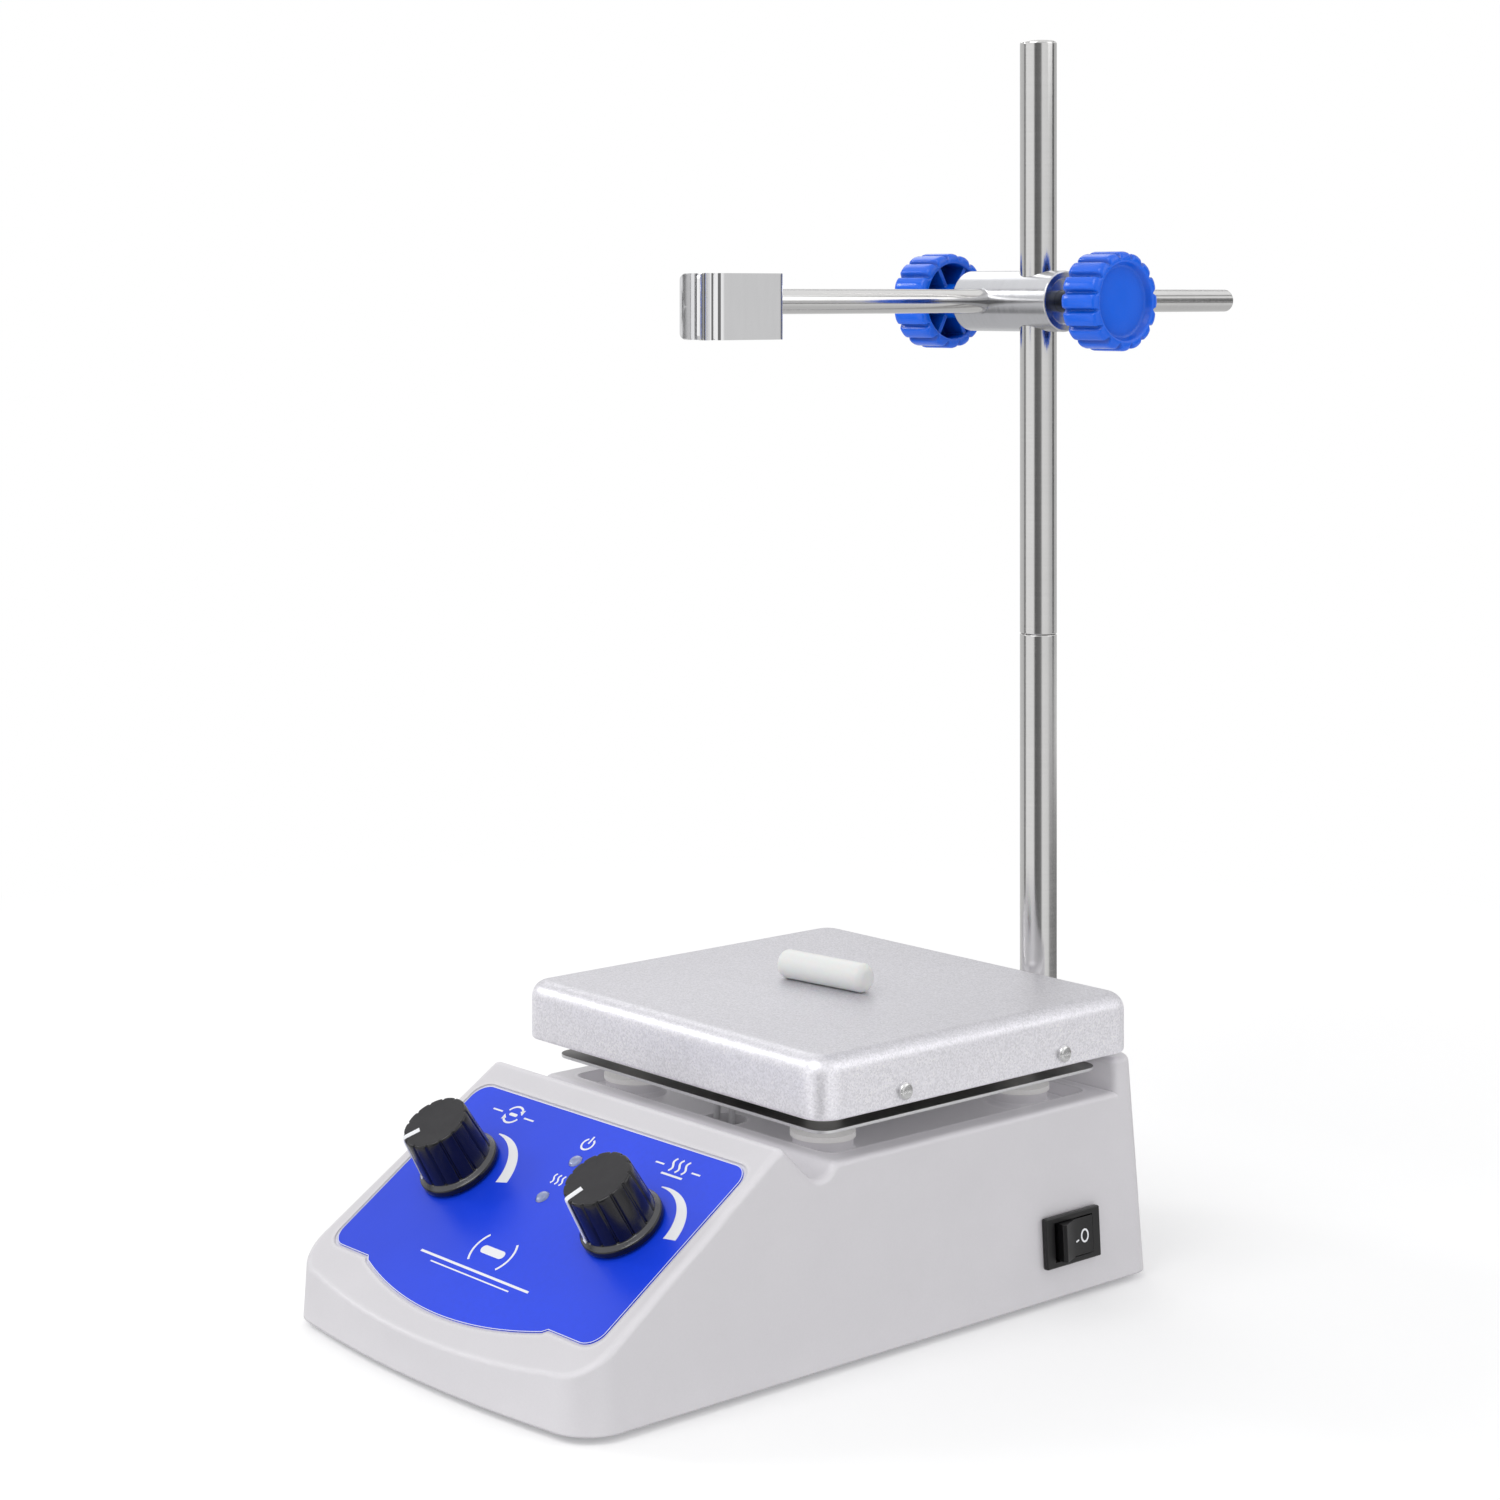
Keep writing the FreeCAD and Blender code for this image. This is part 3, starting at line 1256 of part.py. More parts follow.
STIRRING_ANGLE, HEATING_ANGLE = -125.5, -114.5      # the knobs' resting turn, in degrees
node("panel_overlay", panel_overlay())
node("power_led", led("power_led", POWER_LED))
node("heat_led", led("heat_led", HEAT_LED))
node("speed_pot_body", pot_body("speed", SPEED_POT))
node("heat_pot_body", pot_body("heat", HEAT_POT))
node("pot_nuts", pot_nuts())
node("stirring_knob", knob("stirring", SPEED_POT, STIRRING_ANGLE))
node("stirring_spindle", spindle("stirring", SPEED_POT, STIRRING_ANGLE))
node("heating_knob", knob("heating", HEAT_POT, HEATING_ANGLE))
node("heating_spindle", spindle("heating", HEAT_POT, HEATING_ANGLE))
node("switch_bezel", switch_bezel())
node("switch_rocker", switch_rocker())
node("power_inlet", power_inlet())
node("inlet_pins", inlet_pins())

node("hot_plate", hot_plate())
node("plate_side_screws", plate_side_screws())
node("heating_element", heating_element())
node("insulation_pad", insulation_pad())
node("heater_clamp_plate", heater_clamp_plate())
node("ceramic_standoffs", mount_rings("standoff_set", dim.standoff_radius, reflector_top,
                                      dim.clampplate_bottom))
node("reflector_plate", reflector_plate())
node("pillar_washers", mount_rings("washer_set", dim.washer_radius, dim.pillar_top,
                                   washer_top))
node("reflector_spacers", mount_rings("spacer_set", dim.spacer_radius, washer_top,
                                      dim.reflector_bottom))
node("plate_mount_screws", plate_mount_screws())
node("overheat_thermostat", overheat_thermostat())

node("motor_body", motor_body())
node("motor_bracket", motor_bracket())
node("motor_screws", motor_screws())
node("motor_shaft", cylinder(dim.motor_shaftradius, 35.0, (0.0, 0.0, 12.5), name="shaft_form"))
node("magnet_yoke", magnet_yoke())
node("drive_magnets", drive_magnets())
node("stir_bar", stir_bar())
node("stir_bar_magnet", stir_bar_magnet())

node("control_board", control_board())
node("board_spacers", board_spacers())
node("board_screws", board_screws())
node("triac_heatsink", triac_heatsink())
node("smoothing_capacitor", smoothing_capacitor())
node("terminal_block", terminal_block())
node("board_fuse", board_fuse())
node("heater_relay", heater_relay())
node("mains_wires", cable("mains_wires_runs", MAINS_RUNS, 1.1))
node("heater_wires", cable("heater_wires_runs", HEATER_RUNS, 0.9))

node("rod_socket", rod_socket())
node("lower_rod", lower_rod())
node("upper_rod", upper_rod())
node("rod_joint_stud", on_rod(JOINT_RADIUS, 24.0, dim.rod_seam - 12.0, "joint_stud"))
node("boss_head", boss_head())
node("rod_clamp_knob", clamp_knob("rod_clamp_grip", 51.3, 1))
node("arm_clamp_knob", clamp_knob("arm_clamp_grip", -26.5, -1))
node("rod_clamp_stud", rod_clamp_stud())
node("arm_clamp_stud", arm_clamp_stud())
node("cross_rod", cross_rod())
node("clip_screw", clip_screw())
node("probe_clip", spring_clip())

# ------------------------------------------------------------------ check and write
doc.recompute()
bad = []
for obj in doc.Objects:
    states = [str(x) for x in obj.State]
    if "Invalid" in states or "Error" in states:
        bad.append("%s (%s): %s" % (obj.Name, obj.Label, states))
for name, obj in NODES.items():
    shape = obj.Shape
    if shape.isNull() or not shape.isValid() or not shape.Solids or shape.Volume <= 0:
        bad.append("%s: shape is null or not valid" % name)
if bad:
    raise RuntimeError("; ".join(bad))
os.makedirs("parts", exist_ok=True)
for name, obj in NODES.items():
    obj.Shape.exportStep("parts/" + name + ".step")
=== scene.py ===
import math

import bmesh
import bpy
import numpy as np
from mathutils import Matrix, Vector


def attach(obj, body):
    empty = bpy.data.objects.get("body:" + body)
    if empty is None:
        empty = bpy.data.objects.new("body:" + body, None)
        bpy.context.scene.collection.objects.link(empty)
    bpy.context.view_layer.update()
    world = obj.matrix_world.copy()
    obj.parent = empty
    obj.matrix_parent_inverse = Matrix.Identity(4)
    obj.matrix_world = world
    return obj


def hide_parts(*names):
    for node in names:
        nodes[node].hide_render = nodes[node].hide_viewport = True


# Looks of the heating magnetic stirrer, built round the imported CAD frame. Metres; the helpers take mm.
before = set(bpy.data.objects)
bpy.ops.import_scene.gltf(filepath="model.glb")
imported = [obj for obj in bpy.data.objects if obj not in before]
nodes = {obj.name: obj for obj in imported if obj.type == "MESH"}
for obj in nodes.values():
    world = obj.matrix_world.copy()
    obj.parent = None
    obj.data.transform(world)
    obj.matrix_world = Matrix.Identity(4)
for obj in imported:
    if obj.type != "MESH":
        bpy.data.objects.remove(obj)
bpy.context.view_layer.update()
MM = 0.001
scene = bpy.context.scene
scene.view_settings.view_transform = "Standard"
scene.view_settings.look = "None"


# ------------------------------------------------------------------ material kit
def srgb(r, g, b):
    def one(c):
        c = c / 255.0
        return c / 12.92 if c <= 0.04045 else ((c + 0.055) / 1.055) ** 2.4

    return (one(r), one(g), one(b), 1.0)


class Mat:
    """A procedural material: node graph round one Principled shader, in object coordinates (metres)."""

    def __init__(self, name):
        self.m = bpy.data.materials.new(name)
        self.m.use_nodes = True
        self.t = self.m.node_tree
        self.t.nodes.clear()
        self.out = self.add("ShaderNodeOutputMaterial")
        self.p = self.add("ShaderNodeBsdfPrincipled")
        self.link(self.p.outputs[0], self.out.inputs["Surface"])
        self.co = self.add("ShaderNodeTexCoord").outputs["Object"]
        self.height = None

    def add(self, kind, **props):
        n = self.t.nodes.new(kind)
        for k, v in props.items():
            setattr(n, k, v)
        return n

    def link(self, a, b):
        self.t.links.new(a, b)

    def put(self, socket, value):
        if hasattr(value, "links"):
            self.link(value, socket)
        else:
            socket.default_value = value

    def stretch(self, scale, rot=(0, 0, 0)):
        n = self.add("ShaderNodeMapping")
        n.inputs["Scale"].default_value = scale
        n.inputs["Rotation"].default_value = rot
        self.link(self.co, n.inputs["Vector"])
        return n.outputs[0]

    def noise(self, scale, detail=3.0, rough=0.55, at=None, dist=0.0):
        n = self.add("ShaderNodeTexNoise")
        n.inputs["Scale"].default_value = scale
        n.inputs["Detail"].default_value = detail
        n.inputs["Roughness"].default_value = rough
        n.inputs["Distortion"].default_value = dist
        self.link(at or self.co, n.inputs["Vector"])
        return n.outputs["Fac"]

    def voronoi(self, scale, feature="F1", at=None, out="Distance"):
        n = self.add("ShaderNodeTexVoronoi", feature=feature)
        n.inputs["Scale"].default_value = scale
        self.link(at or self.co, n.inputs["Vector"])
        return n.outputs[out]

    def remap(self, x, a, b, c, d):
        n = self.add("ShaderNodeMapRange")
        for i, v in zip((1, 2, 3, 4), (a, b, c, d)):
            n.inputs[i].default_value = v
        self.link(x, n.inputs[0])
        return n.outputs[0]

    def math(self, op, a, b=0.0):
        n = self.add("ShaderNodeMath", operation=op)
        self.put(n.inputs[0], a)
        self.put(n.inputs[1], b)
        return n.outputs[0]

    def mix(self, fac, a, b, blend="MIX"):
        n = self.add("ShaderNodeMix", data_type="RGBA", blend_type=blend)
        self.put(n.inputs[0], fac)
        self.put(n.inputs[6], a)
        self.put(n.inputs[7], b)
        return n.outputs[2]

    def bump(self, height, distance, strength=1.0, base=None):
        n = self.add("ShaderNodeBump")
        n.inputs["Strength"].default_value = strength
        n.inputs["Distance"].default_value = distance
        self.link(height, n.inputs["Height"])
        last = base or self.height
        if last is not None:
            self.link(last, n.inputs["Normal"])
        self.height = n.outputs[0]
        self.link(self.height, self.p.inputs["Normal"])
        return self.height

    def edges(self, radius, samples=4):
        """0 on flats, rising to 1 on edges tighter than radius. Also rounds the shaded edge."""
        b = self.add("ShaderNodeBevel", samples=samples)
        b.inputs["Radius"].default_value = radius
        g = self.add("ShaderNodeNewGeometry")
        dot = self.add("ShaderNodeVectorMath", operation="DOT_PRODUCT")
        self.link(b.outputs[0], dot.inputs[0])
        self.link(g.outputs["Normal"], dot.inputs[1])
        self.height = b.outputs[0]
        self.link(self.height, self.p.inputs["Normal"])
        return self.remap(dot.outputs["Value"], 0.995, 0.86, 0.0, 1.0)

    def set(self, **kw):
        names = {"color": "Base Color", "rough": "Roughness", "metal": "Metallic", "coat": "Coat Weight",
                 "coat_rough": "Coat Roughness", "spec": "Specular IOR Level", "aniso": "Anisotropic",
                 "trans": "Transmission Weight", "sss": "Subsurface Weight", "sheen": "Sheen Weight", "ior": "IOR",
                 "sss_scale": "Subsurface Scale"}
        for k, v in kw.items():
            self.put(self.p.inputs[names[k]], v)
        return self


def shade(c, k):
    return (min(c[0] * k, 1), min(c[1] * k, 1), min(c[2] * k, 1), 1.0)


MATS = {}


def moulded(name, col, rough, grain=2600, depth=0.000012, mottle=0.05, edge=0.0004, edge_highlight=1.12, coat=0.0, spec=0.5, sss=0.0, painted_hollow_glow=0.0, painted_cavity_shade=0.0, lip=0.0):
    """Injection-moulded plastic: fine spark-eroded grain, faint mottling, edges painted paler as a painted highlight.
    """
    m = Mat(name)
    mask = m.edges(edge) if edge else None
    big = m.noise(38, 4, 0.6)
    flow = m.noise(9, 2, 0.5, dist=0.6)
    c = m.mix(m.remap(big, 0.3, 0.7, 0, 1), shade(col, 1 - mottle), shade(col, 1 + mottle * 0.6))
    c = m.mix(m.remap(flow, 0.35, 0.65, 0, 0.5), c, shade(col, 1 - mottle * 0.7))
    speck = m.noise(grain * 0.8, 2, 0.7)
    c = m.mix(m.remap(speck, 0.35, 0.75, 0, 0.16), c, shade(col, 0.86))
    # the rounded edges are painted paler: a painted highlight along them
    if mask is not None:
        c = m.mix(m.math("MULTIPLY", mask, 0.6), c, shade(col, edge_highlight))
    if lip:
        # rounded lips that look upwards are painted paler: a painted highlight
        wide = m.add("ShaderNodeBevel", samples=4)
        wide.inputs["Radius"].default_value = lip
        face = m.add("ShaderNodeNewGeometry")
        dot = m.add("ShaderNodeVectorMath", operation="DOT_PRODUCT")
        m.link(wide.outputs[0], dot.inputs[0])
        m.link(face.outputs["Normal"], dot.inputs[1])
        axis = m.add("ShaderNodeSeparateXYZ")
        m.link(face.outputs["Normal"], axis.inputs[0])
        rim = m.math("MULTIPLY", m.remap(dot.outputs["Value"], 0.995, 0.90, 0.0, 1.0), m.remap(axis.outputs["Z"], 0.10, 0.40, 0.0, 1.0))
        c = m.mix(rim, c, shade(col, 1.32))
    if painted_cavity_shade:
        # colour is painted darker in the grooves and dished faces: painted shade from ambient occlusion
        near = m.add("ShaderNodeAmbientOcclusion", samples=4)
        near.inputs["Distance"].default_value = 0.006
        c = m.mix(m.remap(near.outputs["AO"], 0.45, 0.97, painted_cavity_shade, 0.0), c, shade(col, 0.25))
    r = m.remap(m.noise(120, 3, 0.6), 0.3, 0.7, rough - 0.05, rough + 0.06)
    if mask is not None:
        r = m.math("SUBTRACT", r, m.math("MULTIPLY", mask, 0.08))
    m.bump(m.noise(grain, 3, 0.6), depth)
    m.bump(m.noise(60, 2, 0.5), depth * 2.0, 0.4)
    m.set(color=c, rough=r, coat=coat, spec=spec, coat_rough=0.12)
    if sss:
        m.set(sss=sss, sss_scale=0.002)
    if painted_hollow_glow:
        # deep hollows of pale plastic are given a faint emission: painted fill light, a glow standing in for light
        # bounced inside them
        ao = m.add("ShaderNodeAmbientOcclusion", samples=4)
        ao.inputs["Distance"].default_value = 0.03
        m.link(m.remap(ao.outputs["AO"], 0.15, 0.75, painted_hollow_glow, 0.0), m.p.inputs["Emission Strength"])
        m.p.inputs["Emission Color"].default_value = col
    MATS[name] = m.m
    return m


def metal(name, col, rough, lines=None, depth=0.000004, spread=0.08, edge=0.0, tint=0.06, grain=0.0, smudge=0.05, cast=1.0):
    """Bare or plated metal. lines is the stretch (x, y, z) of its turned or rolled grain."""
    m = Mat(name)
    mask = m.edges(edge) if edge else None
    at = m.stretch(lines) if lines else None
    streak = m.noise(1.0, 3, 0.65, at=at) if lines else m.noise(900, 3, 0.6)
    cloud = m.noise(45, 3, 0.6)
    c = m.mix(m.remap(streak, 0.3, 0.7, 0, 1), shade(col, 1 - tint), shade(col, 1 + tint))
    c = m.mix(m.remap(cloud, 0.35, 0.7, 0, 0.5), c, shade(col, 1 - tint * 1.4))
    # the edges are painted paler: a painted highlight
    if mask is not None:
        c = m.mix(m.math("MULTIPLY", mask, 0.5), c, shade(col, 1.18))
    r = m.remap(streak, 0.3, 0.7, max(rough - spread * 0.5, 0.02), rough + spread * 0.5)
    r = m.math("ADD", r, m.remap(cloud, 0.4, 0.8, 0.0, smudge))
    m.bump(streak, depth)
    if grain:
        m.bump(m.noise(2200, 3, 0.65), grain)
    m.set(color=c, rough=r, metal=cast)
    MATS[name] = m.m
    return m


# housing and plastics
moulded("housing_plastic", srgb(213, 211, 215), 0.33, grain=2300, depth=0.000014, mottle=0.03, edge=0.0010, edge_highlight=1.10, painted_hollow_glow=0.14, lip=0.0026)
moulded("knob_black", (0.0045, 0.0045, 0.0065, 1), 0.21, grain=3200, depth=0.00001, mottle=0.2, edge=0.00022, edge_highlight=4.0, spec=0.55)
# paler copy of the black knob plastic for the flange's sloping ring: a painted highlight
moulded("knob_rim_painted_highlight", (0.036, 0.036, 0.041, 1), 0.22, grain=2600, depth=0.00002, mottle=0.2, edge=0.0, spec=0.9)
moulded("knob_top", (0.0135, 0.0128, 0.0155, 1), 0.55, grain=2600, depth=0.00002, mottle=0.12, edge=0.0, spec=0.4)
moulded("grip_blue", srgb(2, 98, 232), 0.21, grain=1500, depth=0.000006, mottle=0.08, edge=0.0006, edge_highlight=1.6, coat=0.10, spec=0.45, painted_cavity_shade=0.7)
moulded("switch_black", (0.0085, 0.0082, 0.009, 1), 0.38, grain=2800, depth=0.000014, mottle=0.15, edge=0.00025, edge_highlight=3.0)
moulded("component_dark", (0.035, 0.035, 0.04, 1), 0.5, grain=2400, depth=0.00002, mottle=0.15, edge=0.0002, edge_highlight=1.6)
moulded("rubber_black", (0.022, 0.022, 0.022, 1), 0.78, grain=1800, depth=0.00003, mottle=0.2, edge=0.0004, edge_highlight=1.7, spec=0.3)
moulded("ptfe", (0.80, 0.81, 0.80, 1), 0.42, grain=1600, depth=0.000012, mottle=0.03, edge=0.0003, edge_highlight=1.04, sss=0.25)
moulded("print_white", (0.86, 0.87, 0.90, 1), 0.38, grain=2600, depth=0.000006, mottle=0.03, edge=0.0)
moulded("ceramic", (0.74, 0.73, 0.72, 1), 0.55, grain=2000, depth=0.00003, mottle=0.08, edge=0.0003, edge_highlight=1.08, painted_hollow_glow=0.30)
moulded("pcb_green", (0.012, 0.13, 0.045, 1), 0.3, grain=1300, depth=0.000012, mottle=0.2, edge=0.0, coat=0.3)
moulded("wire_sheath", (0.78, 0.78, 0.79, 1), 0.45, grain=1400, depth=0.000012, mottle=0.12, edge=0.0)

# printed film of the control panel: blue ink under a fine satin laminate
m = Mat("label_film")
ink = srgb(18, 64, 226)
cloud = m.noise(14, 3, 0.55)
c = m.mix(m.remap(cloud, 0.3, 0.7, 0, 1), shade(ink, 0.90), shade(ink, 1.10))
c = m.mix(m.remap(m.noise(700, 3, 0.6), 0.35, 0.7, 0.0, 0.5), c, shade(ink, 0.95))
r = m.remap(m.noise(160, 3, 0.6), 0.3, 0.7, 0.30, 0.37)
m.bump(m.noise(26, 2, 0.5), 0.00002, 0.25)
m.set(color=c, rough=r, coat=0.08, coat_rough=0.2, spec=0.35)
MATS["label_film"] = m.m

# silver sparkle powder coat of the hot plate
m = Mat("plate_coat")
mask = m.edges(0.0012)
base = (0.735, 0.725, 0.76, 1)
orange = m.noise(620, 3, 0.6)
flake = m.voronoi(2400, out="Color")
sep = m.add("ShaderNodeSeparateColor")
m.link(flake, sep.inputs[0])
spark = m.remap(sep.outputs[0], 0.0, 1.0, 0.0, 1.0)
c = m.mix(spark, shade(base, 0.84), shade(base, 1.12))
c = m.mix(m.remap(orange, 0.35, 0.68, 0.0, 0.25), c, shade(base, 0.92))
c = m.mix(m.remap(m.noise(16, 3, 0.5), 0.35, 0.7, 0.0, 0.25), c, shade(base, 0.88))
# faint rubbed rings and heat marks where vessels stand in the middle of the plate
spot = m.add("ShaderNodeVectorMath", operation="LENGTH")
flat = m.stretch((1, 1, 0))
m.link(flat, spot.inputs[0])
ringy = m.remap(spot.outputs["Value"], 0.030, 0.046, 0.16, 0.0)
c = m.mix(m.math("MULTIPLY", ringy, m.remap(m.noise(90, 4, 0.7), 0.4, 0.7, 0.2, 1.0)), c, shade(base, 1.12))
# the edges are painted paler: a painted highlight
c = m.mix(m.math("MULTIPLY", mask, 0.35), c, shade(base, 1.10))
# the upright sides are painted brighter and the top darker: painted light and shade by facing
upright = m.add("ShaderNodeSeparateXYZ")
m.link(m.add("ShaderNodeNewGeometry").outputs["Normal"], upright.inputs[0])
painted_light_tone = m.mix(m.remap(upright.outputs["Z"], 0.35, 0.95, 0.0, 1.0), (1.26, 1.26, 1.27, 1), (0.86, 0.86, 0.87, 1))
c = m.mix(1.0, c, painted_light_tone, blend="MULTIPLY")
r = m.remap(sep.outputs[1], 0.0, 1.0, 0.30, 0.46)
m.bump(m.noise(2300, 3, 0.65), 0.00003)
m.bump(orange, 0.00005, 0.5)
m.set(color=c, rough=r, metal=0.55, spec=0.5)
MATS["plate_coat"] = m.m

# metals
metal("steel", (0.66, 0.655, 0.65, 1), 0.16, lines=(60, 60, 5200), depth=0.0000016, spread=0.06, tint=0.04, smudge=0.03)
metal("steel_y", (0.70, 0.695, 0.69, 1), 0.15, lines=(60, 5200, 60), depth=0.0000016, spread=0.06, tint=0.04, smudge=0.03)
metal("boss_satin", (0.63, 0.635, 0.66, 1), 0.20, lines=(3600, 90, 90), depth=0.000004, spread=0.08, tint=0.05, edge=0.0003, smudge=0.02)
metal("spring_steel", (0.86, 0.86, 0.87, 1), 0.07, lines=(500, 500, 60), depth=0.0000007, spread=0.04, tint=0.02, edge=0.0, smudge=0.03)
metal("zinc_screw", (0.74, 0.74, 0.74, 1), 0.2, lines=None, depth=0.000003, edge=0.00015, tint=0.05, smudge=0.02)
metal("stud_black", (0.13, 0.14, 0.16, 1), 0.34, lines=(2600, 60, 60), depth=0.00001, edge=0.0001, tint=0.1)
metal("reflector_steel", (0.80, 0.80, 0.81, 1), 0.34, lines=(60, 2600, 60), depth=0.000003, spread=0.08, tint=0.05, edge=0.0005, smudge=0.1, cast=0.7)
# the reflector's upward faces are painted dark: a painted shadow under the hot plate
refl = MATS["reflector_steel"].node_tree
bsdf = next(n_ for n_ in refl.nodes if n_.type == "BSDF_PRINCIPLED")
was = bsdf.inputs["Base Color"].links[0].from_socket
geo, axis_, gate, painted_light_tone = (refl.nodes.new(k_) for k_ in ("ShaderNodeNewGeometry", "ShaderNodeSeparateXYZ", "ShaderNodeMapRange", "ShaderNodeMix"))
refl.links.new(geo.outputs["True Normal"], axis_.inputs[0])
for i_, v_ in zip((1, 2, 3, 4), (0.5, 0.9, 0.0, 1.0)):
    gate.inputs[i_].default_value = v_
refl.links.new(axis_.outputs["Z"], gate.inputs[0])
painted_light_tone.data_type = "RGBA"
refl.links.new(gate.outputs[0], painted_light_tone.inputs[0])
refl.links.new(was, painted_light_tone.inputs[6])
painted_light_tone.inputs[7].default_value = (0.16, 0.155, 0.15, 1)
refl.links.new(painted_light_tone.outputs[2], bsdf.inputs["Base Color"])
metal("base_metal", (0.42, 0.43, 0.45, 1), 0.52, lines=None, depth=0.00002, edge=0.0004, tint=0.06, grain=0.00002, cast=0.35)
metal("motor_steel", (0.40, 0.41, 0.43, 1), 0.34, lines=(60, 60, 1800), depth=0.00001, edge=0.0003, tint=0.08, grain=0.000006)
metal("magnet", (0.30, 0.30, 0.32, 1), 0.25, lines=None, depth=0.000004, edge=0.0002, tint=0.06)
metal("heatsink_alu", (0.60, 0.60, 0.62, 1), 0.36, lines=(60, 1500, 60), depth=0.000008, edge=0.0002, tint=0.06)
metal("brass_parts", (0.72, 0.55, 0.26, 1), 0.24, lines=None, depth=0.000004, edge=0.0002, tint=0.07)

# mica sheet and glass fibre felt inside the plate
m = Mat("heater_mica")
lay = m.voronoi(260)
c = m.mix(m.remap(lay, 0.1, 0.7, 0, 1), (0.34, 0.28, 0.20, 1), (0.50, 0.44, 0.34, 1))
m.bump(lay, 0.00004)
m.set(color=c, rough=m.remap(m.noise(400, 3, 0.6), 0.3, 0.7, 0.35, 0.6))
MATS["heater_mica"] = m.m
m = Mat("insulation")
fib = m.noise(1.0, 4, 0.75, at=m.stretch((900, 2600, 1800)), dist=1.2)
c = m.mix(m.remap(fib, 0.3, 0.7, 0, 1), (0.62, 0.58, 0.50, 1), (0.82, 0.80, 0.74, 1))
m.bump(fib, 0.0002)
m.set(color=c, rough=0.92, sheen=0.4)
MATS["insulation"] = m.m

# unlit diffused lamp lens
m = Mat("led_lens")
c = m.mix(m.remap(m.noise(700, 3, 0.6), 0.3, 0.7, 0, 1), (0.20, 0.25, 0.45, 1), (0.30, 0.35, 0.56, 1))
m.bump(m.noise(2500, 2, 0.6), 0.000006)
m.set(color=c, rough=m.remap(m.noise(300, 3, 0.6), 0.3, 0.7, 0.14, 0.26), sss=0.3, sss_scale=0.001, coat=0.5)
MATS["led_lens"] = m.m

SLOT = {
    "housing_shell": "housing_plastic", "base_plate": "base_metal", "base_screws": "zinc_screw",
    "rubber_feet": "rubber_black", "panel_overlay": "label_film", "power_led": "led_lens", "heat_led": "led_lens",
    "speed_pot_body": "brass_parts", "heat_pot_body": "brass_parts", "pot_nuts": "zinc_screw",
    "stirring_knob": "knob_black", "heating_knob": "knob_black", "stirring_spindle": "brass_parts",
    "heating_spindle": "brass_parts", "switch_bezel": "switch_black", "switch_rocker": "switch_black",
    "power_inlet": "switch_black", "inlet_pins": "brass_parts", "hot_plate": "plate_coat",
    "plate_side_screws": "zinc_screw", "heating_element": "heater_mica", "insulation_pad": "insulation",
    "heater_clamp_plate": "reflector_steel", "ceramic_standoffs": "ceramic", "reflector_plate": "reflector_steel",
    "pillar_washers": "ceramic", "reflector_spacers": "zinc_screw", "plate_mount_screws": "zinc_screw",
    "overheat_thermostat": "component_dark", "motor_body": "motor_steel", "motor_bracket": "motor_steel",
    "motor_screws": "zinc_screw", "control_board": "pcb_green", "board_spacers": "ptfe", "board_screws": "zinc_screw",
    "triac_heatsink": "heatsink_alu", "smoothing_capacitor": "component_dark", "terminal_block": "pcb_green",
    "board_fuse": "ceramic", "heater_relay": "component_dark", "mains_wires": "wire_sheath",
    "heater_wires": "wire_sheath", "rod_socket": "brass_parts", "motor_shaft": "steel", "magnet_yoke": "motor_steel",
    "drive_magnets": "magnet", "stir_bar": "ptfe", "stir_bar_magnet": "magnet", "lower_rod": "steel",
    "rod_joint_stud": "steel", "upper_rod": "steel", "boss_head": "boss_satin", "rod_clamp_stud": "stud_black",
    "rod_clamp_knob": "grip_blue", "arm_clamp_stud": "stud_black", "arm_clamp_knob": "grip_blue",
    "cross_rod": "steel_y", "clip_screw": "zinc_screw", "probe_clip": "spring_steel",
}


# ------------------------------------------------------------------ CAD nodes: weld, smooth, material
def smooth_group(angle):
    g = bpy.data.node_groups.new("cad_smooth", "GeometryNodeTree")
    g.interface.new_socket("Geometry", in_out="INPUT", socket_type="NodeSocketGeometry")
    g.interface.new_socket("Geometry", in_out="OUTPUT", socket_type="NodeSocketGeometry")
    gi, go = g.nodes.new("NodeGroupInput"), g.nodes.new("NodeGroupOutput")
    weld = g.nodes.new("GeometryNodeMergeByDistance")
    weld.inputs["Distance"].default_value = 2e-6
    face = g.nodes.new("GeometryNodeSetShadeSmooth")
    face.domain = "FACE"
    face.inputs["Shade Smooth"].default_value = True
    edge = g.nodes.new("GeometryNodeSetShadeSmooth")
    edge.domain = "EDGE"
    edge.inputs["Shade Smooth"].default_value = False
    ang = g.nodes.new("GeometryNodeInputMeshEdgeAngle")
    cmp_ = g.nodes.new("FunctionNodeCompare")
    cmp_.data_type, cmp_.operation = "FLOAT", "GREATER_THAN"
    cmp_.inputs[1].default_value = angle
    g.links.new(gi.outputs[0], weld.inputs["Geometry"])
    g.links.new(weld.outputs[0], face.inputs["Geometry"])
    g.links.new(face.outputs[0], edge.inputs["Geometry"])
    g.links.new(ang.outputs["Unsigned Angle"], cmp_.inputs[0])
    g.links.new(cmp_.outputs[0], edge.inputs["Selection"])
    g.links.new(edge.outputs[0], go.inputs[0])
    return g


SMOOTH = smooth_group(math.radians(26))
for n, o in nodes.items():
    if "custom_normal" in o.data.attributes:
        o.data.attributes.remove(o.data.attributes["custom_normal"])
    gm = o.modifiers.new("smooth", "NODES")
    gm.node_group = SMOOTH
    wn = o.modifiers.new("weighted", "WEIGHTED_NORMAL")
    wn.mode, wn.weight, wn.keep_sharp = "FACE_AREA_WITH_ANGLE", 60, True
    o.data.materials.clear()
    o.data.materials.append(MATS[SLOT[n]])


